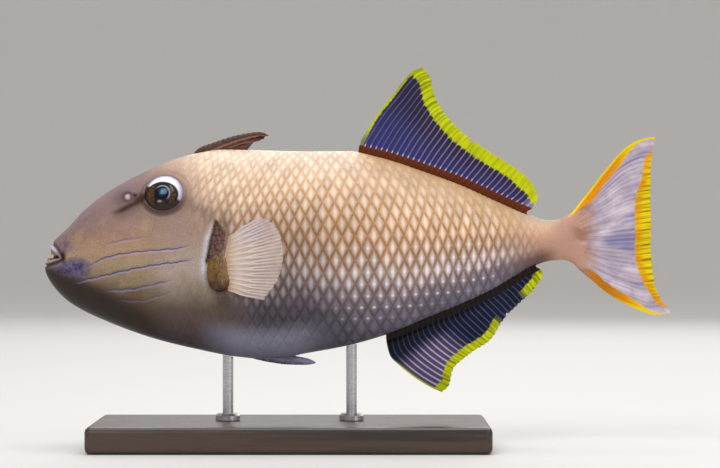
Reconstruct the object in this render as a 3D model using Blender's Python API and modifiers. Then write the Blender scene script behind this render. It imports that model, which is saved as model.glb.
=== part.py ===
"""Crosshatch triggerfish, life size and swimming, held by a flat stand with two short rods.

The fish faces -X and its left side faces -Y. The origin is the middle of the stand's underside.
Sizes are in millimetres: x counts back from the tip of the snout and z up from the body's axis.
"""

import math

import bmesh
import bpy
import numpy as np
from mathutils import Matrix, Vector

# Driving sizes
MM = 0.001
AXIS_HEIGHT = 88.0  # the body's axis above the floor
SNOUT_AHEAD = 110.0  # the snout's tip ahead of the stand's middle
GAP = 0.3  # clearance that touching pieces keep
ROOT_GAP = 0.42  # clearance under a fin whose root follows the back or the belly
OUTLINE_SAMPLES = 240

# The body's side and top views, as (x, value)
BACK = [(0.3, -7.4), (1.0, -5.8), (1.8, -2.0), (2.8, 2.0), (5.3, 4.9), (10.7, 10.2), (17.8, 17.8),
        (24.9, 23.6), (35.6, 30.3), (46.3, 35.6), (57.0, 40.1), (67.7, 43.2), (80.0, 44.9),
        (118.5, 44.1), (136.0, 44.2), (149.7, 41.6), (169.3, 35.4), (185.3, 29.6), (200.5, 22.8),
        (215.2, 16.4), (225.0, 13.4), (233.0, 14.6)]
BELLY = [(0.3, -9.3), (1.3, -12.5), (2.7, -15.1), (7.1, -20.0), (14.3, -25.4), (24.9, -30.7),
         (49.9, -39.9), (67.7, -44.3), (85.5, -47.7), (97.0, -48.7), (106.0, -48.3), (116.7, -46.3),
         (135.4, -42.8), (156.8, -36.5), (171.1, -30.6), (185.3, -24.9), (199.6, -18.3),
         (210.3, -12.0), (217.4, -7.9), (225.0, -5.2), (233.0, -4.5)]
HALF_WIDTH = [(0.3, 2.4), (2.8, 4.8), (5.3, 6.3), (10.7, 9.0), (17.8, 11.8), (24.9, 14.0),
              (35.6, 16.6), (50.0, 19.0), (70.0, 21.0), (90.0, 21.6), (118.5, 20.4), (140.0, 18.0),
              (160.0, 15.0), (180.0, 11.8), (200.0, 8.6), (215.0, 6.4), (225.0, 5.3), (233.0, 4.4)]
WIDEST_HEIGHT = [(0.3, -8.3), (5.0, -9.0), (30.0, -8.0), (75.0, -4.0), (150.0, 1.0), (233.0, 4.8)]
# How blunt the section is above and below its widest height: 1 is an ellipse, less is fuller
BLUNT_ABOVE = [(0.3, 1.0), (30.0, 0.92), (60.0, 0.86), (120.0, 1.0), (180.0, 1.12), (233.0, 1.0)]
BLUNT_BELOW = [(0.3, 1.0), (30.0, 1.02), (80.0, 1.12), (120.0, 1.2), (180.0, 1.2), (233.0, 1.0)]

# The seam between head and trunk follows the gill cover's edge, as (height, shift along the body)
SEAM_SHIFT = [(-50.0, 0.9), (-22.0, -1.9), (-5.3, -1.5), (14.3, 2.1), (25.0, 0.0), (36.0, -4.0),
              (46.0, -9.0)]
HEAD_END = 75.0
SEAM_REACH = 22.0  # how far from the seam the sections still bend with it
TRUNK_END = 219.5
STALK_END = 232.6
SECTION_POINTS = 36

# Eye, nostrils, the fold in front of the eye and the grooves along the cheek, as (x, height)
EYE = (54.4, 25.2)
EYE_RADIUS = 10.0
EYE_DEPTH = 5.9
EYE_INSET = 3.2  # the ball's middle lies this far under the skin
ORBIT_RADIUS = 9.1
ORBIT_RIM = 0.85
ORBIT_POINTS = 22
NOSTRILS = [(38.2, 23.4), (41.4, 23.9)]
NOSTRIL_RADIUS = 0.95
EYE_FOLD = [(30.3, 15.6), (35.4, 17.5), (40.0, 19.9), (43.9, 21.8)]
EYE_FOLD_RADII = [0.35, 0.8, 1.15, 0.8]
CHEEK_GROOVES = [
    [(27.4, 2.3), (38.0, 4.6), (48.4, 5.9)],
    [(19.6, -7.9), (25.0, -4.8), (31.5, -2.5), (41.0, -0.9), (53.0, 0.2), (62.0, 1.0), (68.4, 3.0)],
    [(15.1, -14.0), (27.0, -11.4), (41.0, -8.2), (54.0, -6.0), (63.3, -4.8), (69.9, -2.9)],
    [(28.1, -17.6), (39.2, -17.1), (49.5, -15.1), (60.6, -12.5)],
    [(34.1, -21.7), (44.3, -22.0), (52.1, -20.0), (60.6, -17.6)],
]
GROOVE_RADII = [0.45, 0.85, 1.0, 0.85, 0.45]

# Mouth: a wedge-shaped gape with a rolled lip above and below
MOUTH_CORNER = (6.4, -3.9)
GAPE_UPPER = math.radians(127.0)
GAPE_LOWER = math.radians(201.0)
GAPE_REACH = 9.0  # from the corner out past both lips
MOUTH_HALF_WIDTH = 6.0
UPPER_LIP = {"front": (3.9, 1.2), "corner": (7.2, -3.6), "thick": 1.5, "thin": 1.0,
             "tooth_lean": math.radians(53.0), "tooth_way": -1}
LOWER_LIP = {"front": (1.5, -6.7), "corner": (7.2, -4.9), "thick": 1.3, "thin": 1.0,
             "tooth_lean": math.radians(-21.0), "tooth_way": 1}
LIP_POINTS = 17
TEETH = 6
TOOTH_WIDTH = 1.1
TOOTH_HEIGHT = 1.9
TOOTH_SETBACK = 1.5
GUM_OFFSET = 0.9  # from the lip's middle line into the gape

# Gill opening, behind the seam
GILL = (77.2, 5.6)
GILL_SIZE = (3.4, 6.0, 9.2)
GILL_LEAN = math.radians(-9.0)

# Fins: each is a patch between a root, a free edge and its first and last ray
MEMBRANE = 0.3  # half of the membrane's thickness
RAY_RISE = 0.28  # how far a ray stands out of each face
ROOT_HALF = 1.45  # half of the fleshy root's thickness
SHEATH = 0.14  # the share of a median fin's height that its sheath covers
REAR_DORSAL = {
    "root": (140.2, 215.0),
    "lead": [(140.2, 44.3), (145.7, 56.1), (155.9, 69.8), (165.3, 80.2), (168.8, 81.5)],
    "edge": [(168.8, 81.5), (172.4, 76.5), (174.0, 69.5), (182.7, 56.1), (196.0, 45.4),
             (212.5, 34.7), (219.2, 27.0), (220.3, 22.6)],
    "rear": [(215.0, 16.6), (217.6, 18.6), (220.3, 22.6)],
    "rays": 25,
}
ANAL = {
    "root": (152.4, 219.0),
    "lead": [(152.4, -38.0), (153.9, -46.3), (158.6, -51.7), (172.0, -61.0), (177.4, -63.4)],
    "edge": [(177.4, -63.4), (180.4, -60.5), (182.2, -53.5), (189.8, -46.3), (199.1, -40.0),
             (205.2, -30.9), (212.4, -23.6), (218.3, -17.8), (222.6, -11.3)],
    "rear": [(219.0, -7.2), (221.0, -8.6), (222.6, -11.3)],
    "rays": 23,
}
TAIL = {
    "root": [(232.9, 14.5), (232.9, 4.9), (232.9, -4.4)],
    "lead": [(232.9, 14.5), (239.7, 22.3), (250.4, 35.8), (260.6, 46.5), (268.0, 49.9), (273.2, 50.6)],
    "edge": [(273.2, 50.6), (271.2, 43.5), (270.4, 33.0), (270.5, 5.0), (271.9, -14.0),
             (275.0, -21.5), (279.9, -28.2)],
    "rear": [(232.9, -4.4), (240.1, -10.2), (253.0, -20.6), (263.7, -26.1), (273.0, -29.0),
             (279.9, -28.2)],
    "rays": 17,
}
FRONT_DORSAL = {
    "root": (69.5, 88.0),
    "lead": [(69.5, 43.7), (74.8, 45.4), (82.0, 48.3), (89.2, 50.6), (96.4, 51.7), (100.0, 50.9)],
    "edge": [(100.0, 50.9), (99.0, 48.9), (96.0, 47.2), (91.6, 46.9)],
    "rear": [(88.0, 45.0), (91.6, 46.9)],
    "rays": 3,
}
SPINE_RADII = [1.0, 1.9, 1.7, 1.5, 1.25, 0.7]
PECTORAL = {
    "root": [(83.6, 6.4), (84.4, -6.0), (84.3, -17.8)],
    "lead": [(83.6, 6.4), (90.0, 11.0), (97.1, 14.7)],
    "edge": [(97.1, 14.7), (102.9, 11.6), (106.5, 5.3), (107.4, -2.2), (105.6, -11.1), (98.9, -21.8)],
    "rear": [(84.3, -17.8), (91.8, -20.5), (98.9, -21.8)],
    "rays": 13,
}
PECTORAL_STANDS_OFF = (1.6, 6.5)  # the fan's distance from the flank at its root and edge
LOBE = (79.4, 0.2, -9.8)
LOBE_SIZE = (5.2, 2.6, 8.0)
FAN_ROOT_RADII = [0.7, 1.5, 1.75, 1.5, 0.7]
PELVIC = [(93.5, -47.3), (100.7, -47.7), (107.0, -48.4), (114.0, -49.2), (118.8, -49.8), (121.2, -50.2)]
PELVIC_RADII = [1.0, 2.1, 2.2, 1.95, 1.5, 0.5]

# Stand
BASE_SIZE = (176.0, 84.0, 12.0)
BASE_EDGE = 2.5
ROD_PLACES = {"front": -28.0, "rear": 27.0}
ROD_RADIUS = 2.4
COLLAR_RADIUS = 5.5
COLLAR_HEIGHT = 3.0
ROD_SIDES = 24

# Colours as (red, green, blue), roughness, metallic
SKIN = ((0.62, 0.45, 0.31), 0.42, 0.0)
FIN_BLUE = ((0.08, 0.09, 0.24), 0.40, 0.0)
TAIL_LILAC = ((0.55, 0.50, 0.66), 0.42, 0.0)
PALE_FIN = ((0.66, 0.56, 0.50), 0.42, 0.0)
SPINE_BROWN = ((0.22, 0.10, 0.06), 0.48, 0.0)
EYE_DARK = ((0.05, 0.05, 0.09), 0.08, 0.0)
IVORY = ((0.80, 0.72, 0.56), 0.30, 0.0)
DARK_WOOD = ((0.045, 0.030, 0.022), 0.35, 0.0)
STEEL = ((0.62, 0.62, 0.63), 0.28, 1.0)


def smooth_line(points):
    """A smooth function through (position, value) points that never overshoots them."""
    x, y = np.array(points, float).T
    step = np.diff(x)
    rise = np.diff(y) / step
    slope = np.zeros(len(x))
    slope[0], slope[-1] = rise[0], rise[-1]
    for i in range(1, len(x) - 1):
        if rise[i - 1] * rise[i] > 0:
            before, after = 2 * step[i] + step[i - 1], step[i] + 2 * step[i - 1]
            slope[i] = (before + after) / (before / rise[i - 1] + after / rise[i])

    def value(at):
        at = np.clip(np.asarray(at, float), x[0], x[-1])
        i = np.clip(np.searchsorted(x, at) - 1, 0, len(step) - 1)
        t = (at - x[i]) / step[i]
        flat = y[i] * (1 + 2 * t) * (1 - t) ** 2 + y[i + 1] * t * t * (3 - 2 * t)
        return flat + step[i] * t * (1 - t) * (slope[i] * (1 - t) - slope[i + 1] * t)

    return value


def smooth_curve(points):
    """Points of a smooth curve by share of its length."""
    points = np.array(points, float)
    chord = np.concatenate([[0], np.cumsum(np.linalg.norm(np.diff(points, axis=0), axis=1))])
    at = np.linspace(0, chord[-1], OUTLINE_SAMPLES)
    line = np.stack([smooth_line(list(zip(chord, column)))(at) for column in points.T], axis=1)
    length = np.concatenate([[0], np.cumsum(np.linalg.norm(np.diff(line, axis=0), axis=1))])
    share = length / length[-1]

    def place(t):
        return np.stack([np.interp(t, share, column) for column in line.T], axis=-1)

    return place


back, belly, half_width = smooth_line(BACK), smooth_line(BELLY), smooth_line(HALF_WIDTH)
widest_height = smooth_line(WIDEST_HEIGHT)
blunt_above, blunt_below = smooth_line(BLUNT_ABOVE), smooth_line(BLUNT_BELOW)
seam_shift = smooth_line(SEAM_SHIFT)


def flank(x, z, grow=0.0):
    """How far the body's surface stands from the middle plane at x and height z."""
    middle = widest_height(x)
    above = z >= middle
    reach = np.where(above, back(x) + grow - middle, middle - belly(x) + grow)
    share = np.clip(np.abs(z - middle) / reach, 0, 1)
    blunt = np.where(above, blunt_above(x), blunt_below(x))
    return (half_width(x) + grow) * (1 - share**2) ** (blunt / 2)


def ridge_height(x, y, upper):
    """Height of the back (upper) or the belly at x, a distance y from the middle plane."""
    middle = widest_height(x)
    blunt = blunt_above(x) if upper else blunt_below(x)
    share = np.sqrt(1 - np.clip(np.abs(y) / half_width(x), 0, 1) ** (2 / blunt))
    return middle + share * ((back(x) if upper else belly(x)) - middle)


def section(station, grow=0.0):
    """One section of the body, from the back down its right side and up its left."""
    angle = np.arange(SECTION_POINTS) * 2 * math.pi / SECTION_POINTS
    bend = math.exp(-(((station - HEAD_END) / SEAM_REACH) ** 2))
    x = np.full(SECTION_POINTS, float(station))
    for _ in range(6):  # the bend depends on the height, and the height on the bend
        middle = widest_height(x)
        reach = np.where(np.cos(angle) >= 0, back(x) + grow - middle, middle - belly(x) + grow)
        z = middle + np.cos(angle) * reach
        x = station + bend * seam_shift(z)
    blunt = np.where(np.cos(angle) >= 0, blunt_above(x), blunt_below(x))
    side = np.abs(np.sin(angle)) ** blunt * (half_width(x) + grow)
    return np.stack([x, np.sign(np.round(np.sin(angle), 9)) * side, z], axis=1)


def placed(points):
    """Millimetres on the fish to metres on the stand."""
    shifted = np.asarray(points, float) + [-SNOUT_AHEAD, 0, AXIS_HEIGHT]
    return shifted * MM


def mesh_object(name, points, faces, look=None):
    """A mesh object from points in metres, its faces turned outwards."""
    mesh = bpy.data.meshes.new(name)
    mesh.from_pydata([tuple(p) for p in points], [], [tuple(f) for f in faces])
    work = bmesh.new()
    work.from_mesh(mesh)
    bmesh.ops.remove_doubles(work, verts=work.verts, dist=1e-6)
    bmesh.ops.recalc_face_normals(work, faces=work.faces)
    work.to_mesh(mesh)
    work.free()
    return finished(scene_object(name, mesh), look)


def scene_object(name, mesh):
    piece = bpy.data.objects.new(name, mesh)
    fish_parts.objects.link(piece)
    return piece


def adopted(name):
    """Names the primitive just added and moves it to the fish's collection."""
    piece = bpy.context.object
    piece.name = name
    for group in list(piece.users_collection):
        group.objects.unlink(piece)
    fish_parts.objects.link(piece)
    return piece


def finished(piece, look):
    """Gives the piece a material of its own, where it has a look."""
    if look:
        colour, roughness, metallic = look
        made = bpy.data.materials.new(piece.name)
        made.use_nodes = True
        shader = made.node_tree.nodes["Principled BSDF"]
        shader.inputs["Base Color"].default_value = (*colour, 1.0)
        shader.inputs["Roughness"].default_value = roughness
        shader.inputs["Metallic"].default_value = metallic
        piece.data.materials.clear()
        piece.data.materials.append(made)
    return piece


def loft(name, sections, look=None):
    """A closed body through sections of equal point count, its two ends laddered across."""
    count = len(sections[0])
    points = np.concatenate(sections)
    faces = []
    for k in range(len(sections) - 1):
        for i in range(count):
            j = (i + 1) % count
            faces.append((k * count + i, k * count + j, (k + 1) * count + j, (k + 1) * count + i))
    for first in (0, (len(sections) - 1) * count):
        faces.append((first, first + 1, first + count - 1))
        for i in range(1, count // 2 - 1):
            faces.append((first + i, first + i + 1, first + count - i - 1, first + count - i))
        faces.append((first + count // 2 - 1, first + count // 2, first + count // 2 + 1))
    return mesh_object(name, placed(points), faces, look)


def tube(name, path, radii, rounding=3, look=None, steps=12):
    """A bent tube as a mesh, its radius read evenly along the path."""
    share = np.linspace(0, 1, steps)
    line = smooth_curve(path)(share)
    width = smooth_line(list(zip(np.linspace(0, 1, len(radii)), radii)))(share)
    return swept(name, line, width, rounding, look)


def swept(name, line, width, rounding, look=None, closed=False):
    """A round section carried along the points, open with capped ends or as a closed ring."""
    curve = bpy.data.curves.new(name, "CURVE")
    curve.dimensions = "3D"
    curve.bevel_depth = MM
    curve.bevel_resolution = rounding
    curve.use_fill_caps = not closed
    spline = curve.splines.new("POLY")
    spline.use_cyclic_u = closed
    spline.points.add(len(line) - 1)
    for point, place, radius in zip(spline.points, placed(line), width):
        point.co = (*place, 1.0)
        point.radius = radius
    guide = bpy.data.objects.new(name, curve)
    fish_parts.objects.link(guide)
    return finished(baked(guide), look)


def baked(piece):
    """The object with its modifiers, or its curve, made a plain welded mesh."""
    name = piece.name
    graph = bpy.context.evaluated_depsgraph_get()
    mesh = bpy.data.meshes.new_from_object(piece.evaluated_get(graph))
    mesh.transform(piece.matrix_world)
    bpy.data.objects.remove(piece)
    work = bmesh.new()
    work.from_mesh(mesh)
    bmesh.ops.remove_doubles(work, verts=work.verts, dist=1e-6)
    work.to_mesh(mesh)
    work.free()
    mesh.name = name
    return scene_object(name, mesh)


def combined(piece, others, operation, look=None):
    """Joins the others to the piece, or cuts them from it, and keeps the largest body."""
    group = bpy.data.collections.new(piece.name + "_" + operation.lower())
    bpy.context.scene.collection.children.link(group)
    for other in others:
        fish_parts.objects.unlink(other)
        group.objects.link(other)
    change = piece.modifiers.new(operation, "BOOLEAN")
    change.operation = operation
    change.operand_type = "COLLECTION"
    change.collection = group
    change.solver = "EXACT"
    bpy.context.view_layer.update()
    piece = baked(piece)
    for other in list(group.objects):
        bpy.data.objects.remove(other)
    bpy.data.collections.remove(group)
    keep_largest(piece)
    return finished(piece, look)


def keep_largest(piece):
    """Removes all but the largest closed surface, such as a sealed hollow or a loose scrap."""
    work = bmesh.new()
    work.from_mesh(piece.data)
    left = set(work.verts)
    bodies = []
    while left:
        grown, edge = set(), [left.pop()]
        while edge:
            vertex = edge.pop()
            grown.add(vertex)
            near = {e.other_vert(vertex) for e in vertex.link_edges} & left
            left -= near
            edge.extend(near)
        bodies.append(grown)
    bodies.sort(key=spread)
    for body in bodies[:-1]:
        bmesh.ops.delete(work, geom=list(body), context="VERTS")
    work.to_mesh(piece.data)
    work.free()


def spread(vertices):
    places = np.array([v.co for v in vertices])
    return float(np.prod(places.max(0) - places.min(0)))


def ellipsoid(name, centre, size, turn=(0.0, 0.0, 0.0), segments=24, rings=14):
    """A closed ellipsoid at a place on the fish, turned in place."""
    bpy.ops.mesh.primitive_uv_sphere_add(segments=segments, ring_count=rings, radius=1.0)
    piece = adopted(name)
    piece.scale = [s * MM for s in size]
    piece.rotation_euler = turn
    piece.location = placed(centre)
    bpy.context.view_layer.update()
    return baked(piece)


def on_flank(x, z, side, out=0.0):
    """A point on the body's surface, or a distance out of it. Side is -1 on the left."""
    return (x, side * (float(flank(x, z)) + out), z)


def skin_normal(x, z, side):
    """The direction out of the flank at a point, as a unit vector."""
    step = 0.5
    slope_x = float(flank(x + step, z) - flank(x - step, z)) / (2 * step)
    slope_z = float(flank(x, z + step) - flank(x, z - step)) / (2 * step)
    return Vector((-slope_x, side, -slope_z)).normalized()


def eyeball(name, side, grow=0.0, look=None):
    """A flattened ball set square to the skin, with its middle under the surface."""
    normal = skin_normal(*EYE, side)
    centre = Vector(on_flank(*EYE, side)) - EYE_INSET * normal
    size = (EYE_RADIUS + grow, EYE_RADIUS + grow, EYE_DEPTH + grow)
    turn = normal.to_track_quat("Z", "Y").to_euler()
    return finished(ellipsoid(name, centre, size, turn, 20, 11), look)


def orbit_rim(side):
    """The raised ring of skin round the eye, lying on the head."""
    normal = skin_normal(*EYE, side)
    across = normal.cross(Vector((0, 0, 1))).normalized()
    upward = across.cross(normal)
    ring = []
    for k in range(ORBIT_POINTS):
        angle = 2 * math.pi * k / ORBIT_POINTS
        reach = ORBIT_RADIUS * (math.cos(angle) * across + math.sin(angle) * upward)
        ring.append(on_flank(EYE[0] + reach.x, EYE[1] + reach.z, side, 0.1))
    return swept("orbit_rim", ring, [ORBIT_RIM] * ORBIT_POINTS, 2, closed=True)


def make_head(look):
    """Head with lips, gape, orbits, nostrils, the fold before each eye and cheek grooves."""
    near_snout = [0.3, 0.9, 1.8, 2.8, 4.0, 5.6, 7.6, 10.2, 13.4]
    stations = near_snout + list(np.linspace(17.0, HEAD_END - GAP / 2, 16))
    head = loft("head", [section(s) for s in stations])
    gape = prism("gape", mouth_wedge(), 3 * MOUTH_HALF_WIDTH)
    rolls = [lip("upper_roll", UPPER_LIP), lip("lower_roll", LOWER_LIP)]
    cuts = [tooth_row("upper_pocket", UPPER_LIP, grow=GAP),
            tooth_row("lower_pocket", LOWER_LIP, grow=GAP)]
    for side in (-1, 1):
        rolls.append(orbit_rim(side))
        cuts.append(eyeball("socket", side, GAP))
        for x, z in NOSTRILS:
            pit = (NOSTRIL_RADIUS, 1.6 * NOSTRIL_RADIUS, NOSTRIL_RADIUS)
            cuts.append(ellipsoid("nostril", on_flank(x, z, side, 0.2), pit, (0, 0, 0), 8, 6))
        fold = [on_flank(x, z, side, 0.1) for x, z in EYE_FOLD]
        cuts.append(tube("fold", fold, EYE_FOLD_RADII, 1, steps=8))
        for line in CHEEK_GROOVES:
            groove = [on_flank(x, z, side, 0.1) for x, z in line]
            cuts.append(tube("groove", groove, GROOVE_RADII, 0, steps=2 * len(line) + 2))
    head = combined(head, [gape], "DIFFERENCE")
    head = combined(head, rolls, "UNION")
    return combined(head, cuts, "DIFFERENCE", look)


def mouth_wedge():
    """The gape's outline: from the mouth's corner out past both lips."""
    x, z = MOUTH_CORNER
    spread_over = np.linspace(GAPE_UPPER, GAPE_LOWER, 3)
    rim = [(x + GAPE_REACH * math.cos(a), z + GAPE_REACH * math.sin(a)) for a in spread_over]
    return [(x, z), *rim]


def prism(name, outline, half_depth):
    """An outline in the side view, carried across the body."""
    count = len(outline)
    points = [(x, y, z) for y in (-half_depth, half_depth) for x, z in outline]
    faces = [tuple(range(count)), tuple(range(count, 2 * count))]
    faces += [(i, (i + 1) % count, (i + 1) % count + count, i + count) for i in range(count)]
    return mesh_object(name, placed(points), faces)


def lip_path(lip_sizes, inset=0.0, count=LIP_POINTS):
    """A lip's middle line, from the left corner of the mouth round its front."""
    (front_x, front_z), (corner_x, corner_z) = lip_sizes["front"], lip_sizes["corner"]
    angle = np.linspace(-math.pi / 2, math.pi / 2, count)
    forward = np.cos(angle) ** 0.8
    x = corner_x + (front_x - corner_x) * forward + inset
    z = corner_z + (front_z - corner_z) * forward
    return np.stack([x, (MOUTH_HALF_WIDTH - inset) * np.sin(angle), z], axis=1)


def lip(name, lip_sizes):
    thick, thin = lip_sizes["thick"], lip_sizes["thin"]
    return tube(name, lip_path(lip_sizes), [0.4 * thin, thin, thick, thick, thick, thin, 0.4 * thin], 2)


def tooth_row(name, lip_sizes, look=None, grow=0.0):
    """A row of blunt front teeth on a low gum, just behind a lip."""
    lean, way = lip_sizes["tooth_lean"], lip_sizes["tooth_way"]
    into_gape = way * np.array([math.sin(lean), 0.0, math.cos(lean)])
    row = lip_path(lip_sizes, TOOTH_SETBACK, TEETH + 4)[2:-2] + GUM_OFFSET * into_gape
    gum = tube(name, row, [r + grow for r in (0.45, 0.6, 0.6, 0.45)], 2)
    size = (0.42 * TOOTH_WIDTH + grow, 0.5 * TOOTH_WIDTH + grow, 0.5 * TOOTH_HEIGHT + grow)
    teeth = [ellipsoid("tooth", place + 0.35 * TOOTH_HEIGHT * into_gape, size, (0, lean, 0), 6, 5)
             for place in row]
    return combined(gum, teeth, "UNION", look)


def make_trunk(look):
    """Trunk with the gill openings behind the seam."""
    stations = list(np.linspace(HEAD_END + GAP / 2, TRUNK_END - GAP / 2, 25))
    trunk = loft("trunk", [section(s) for s in stations])
    gills = []
    for side in (-1, 1):
        place = on_flank(*GILL, side, -0.6)
        gills.append(ellipsoid("gill", place, GILL_SIZE, (0, GILL_LEAN, 0), 16, 12))
    return combined(trunk, gills, "DIFFERENCE", look)


def make_tail_stalk(look):
    stations = np.linspace(TRUNK_END + GAP / 2, STALK_END, 4)
    return loft("tail_stalk", [section(s) for s in stations], look)


def body_envelope():
    """The whole body grown by the gap, for trimming what rests on it."""
    stations = [0.3, 2.8, 7.6, 13.4, *np.linspace(17.0, STALK_END, 40)]
    return loft("envelope", [section(s, GAP) for s in stations])


def fin_patch(fin):
    """Place on the fin by share along its root and share from root to edge."""
    lead, rear, edge = (smooth_curve(fin[side]) for side in ("lead", "rear", "edge"))
    root = smooth_curve(fin["root"])
    near_start, near_end = lead(0.0), rear(0.0)
    far_start, far_end = lead(1.0), rear(1.0)

    def place(u, v):
        u_, v_ = np.asarray(u, float)[..., None], np.asarray(v, float)[..., None]
        sides = (1 - u_) * lead(v) + u_ * rear(v)
        ends = (1 - v_) * root(u) + v_ * edge(u)
        corners = (1 - v_) * ((1 - u_) * near_start + u_ * near_end)
        corners = corners + v_ * ((1 - u_) * far_start + u_ * far_end)
        return sides + ends - corners

    return place


def along_ridge(fin, upper):
    """A median fin's root, read off the back or the belly between its two ends."""
    start, end = fin["root"]
    stations = np.linspace(start, end, 14)
    line = [(x, float(ridge_height(x, 0.0, upper))) for x in stations]
    sized = dict(fin, root=line)
    sized["lead"] = [line[0], *fin["lead"][1:]]
    sized["rear"] = [line[-1], *fin["rear"][1:]]
    return sized


def fin_grid(fin, rows, notch=0.018):
    """Shares along the root and out to the edge: a column on each ray and one between each two."""
    columns = 2 * fin["rays"] - 1
    u, v = np.meshgrid(np.linspace(0, 1, columns), np.array(rows), indexing="ij")
    on_ray = (np.arange(columns) % 2 == 0)[:, None] & np.ones_like(v, bool)
    v = np.where(on_ray, v, v * (1 - notch))
    return u, v, on_ray


def fin_solid(name, middle, normal, half, look=None, saddle=None):
    """A closed sheet about its middle surface, split into triangles alike on both faces.

    The saddle is the line that the middle of the root's face follows, where it isn't flat.
    """
    columns, rows = middle.shape[:2]
    points = np.concatenate([(middle - normal * half[..., None]).reshape(-1, 3),
                             (middle + normal * half[..., None]).reshape(-1, 3)])
    other = columns * rows
    faces = []
    if saddle is not None:
        points = np.concatenate([points, saddle])

    def quad(a, b, c, d):
        faces.extend([(a, b, c), (a, c, d)])

    for i in range(columns - 1):
        for j in range(rows - 1):
            a, b = i * rows + j, (i + 1) * rows + j
            quad(a, b, b + 1, a + 1)
            quad(a + other, b + other, b + 1 + other, a + 1 + other)
    for i in range(columns - 1):
        for j in (0, rows - 1):
            a, b = i * rows + j, (i + 1) * rows + j
            if j or saddle is None:
                quad(a, b, b + other, a + other)
            else:
                c = 2 * other + i
                quad(a, b, c + 1, c)
                quad(a + other, b + other, c + 1, c)
    for i in (0, columns - 1):
        for j in range(rows - 1):
            a = i * rows + j
            quad(a, a + 1, a + 1 + other, a + other)
        if saddle is not None:
            a = i * rows
            faces.append((a, a + other, 2 * other + i))
    return mesh_object(name, placed(points), faces, look)


def make_median_fin(name, fin, upper, sway, look):
    """A dorsal or anal fin: a thick sheath at the root, then membrane ridged by its rays."""
    rows = [0.0, 0.5 * SHEATH, SHEATH, 0.34, 0.57, 0.79, 1.0]
    u, v, on_ray = fin_grid(fin, rows)
    flat = fin_patch(along_ridge(fin, upper))(u, v)
    taper = np.clip(1 - v / (1.4 * SHEATH), 0, 1) ** 1.5
    rays = np.where(on_ray, RAY_RISE * (1 - 0.6 * v), 0.0)
    half = MEMBRANE + rays + taper * (ROOT_HALF - MEMBRANE)
    middle = np.stack([flat[..., 0], sway(u, v), flat[..., 1]], axis=-1)
    root_x = middle[:, 0, 0]
    lift = ROOT_GAP if upper else -ROOT_GAP
    middle[:, 0, 2] = ridge_height(root_x, half[:, 0], upper) + lift
    saddle = np.stack([root_x, 0 * root_x, ridge_height(root_x, 0.0, upper) + lift], axis=1)
    across = np.broadcast_to(np.array([0.0, 1.0, 0.0]), middle.shape)
    return fin_solid(name, middle, across, half, look, saddle)


def dorsal_sway(u, v):
    return 1.7 * v**1.5 * np.sin(2 * math.pi * (1.15 * u + 0.1))


def anal_sway(u, v):
    curl = np.exp(-(((u - 0.72) / 0.12) ** 2))
    return v**1.5 * (1.6 * np.sin(2 * math.pi * (1.1 * u + 0.55)) + 3.2 * curl)


def tail_sway(u, v):
    fold = np.abs(u - 0.5) ** 1.3
    return v**1.4 * (2.2 * fold * 2 + 0.9 * np.sin(2 * math.pi * 3.5 * u) * v)


def make_tail_fin(look):
    rows = [0.0, 0.1, 0.22, 0.36, 0.52, 0.68, 0.84, 1.0]
    u, v, on_ray = fin_grid(TAIL, rows)
    flat = fin_patch(TAIL)(u, v)
    stalk = flank(np.full(u.shape, STALK_END), flat[:, :1, 1])
    fleshy = np.clip(1 - v / 0.55, 0, 1) ** 1.6
    rays = np.where(on_ray, RAY_RISE * (1 - 0.5 * v), 0.0)
    half = MEMBRANE + rays * (1 - fleshy) + fleshy * np.maximum(stalk - MEMBRANE, 0)
    middle = np.stack([flat[..., 0], tail_sway(u, v), flat[..., 1]], axis=-1)
    across = np.broadcast_to(np.array([0.0, 1.0, 0.0]), middle.shape)
    return fin_solid("tail_fin", middle, across, half, look)


def make_front_dorsal(look):
    """The folded spiny fin: a stout first spine with its membrane lying behind it."""
    rows = [0.0, 0.25, 0.5, 0.75, 1.0]
    u, v, on_ray = fin_grid(FRONT_DORSAL, rows, 0.0)
    fin = along_ridge(FRONT_DORSAL, True)
    flat = fin_patch(fin)(u, v)
    half = np.where(on_ray, 0.75, 0.5) * np.ones_like(v)
    middle = np.stack([flat[..., 0], 0 * v, flat[..., 1]], axis=-1)
    middle[:, 0, 2] -= 1.0
    across = np.broadcast_to(np.array([0.0, 1.0, 0.0]), middle.shape)
    web = fin_solid("dorsal_fin_front", middle, across, half)
    line = [(x, 0.0, z) for x, z in FRONT_DORSAL["lead"]]
    line[0] = (line[0][0] - 1.5, 0.0, line[0][2] - 0.8)
    spine = tube("spine", line, SPINE_RADII, 3)
    joined = combined(web, [spine], "UNION")
    return combined(joined, [body_envelope()], "DIFFERENCE", look)


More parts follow.
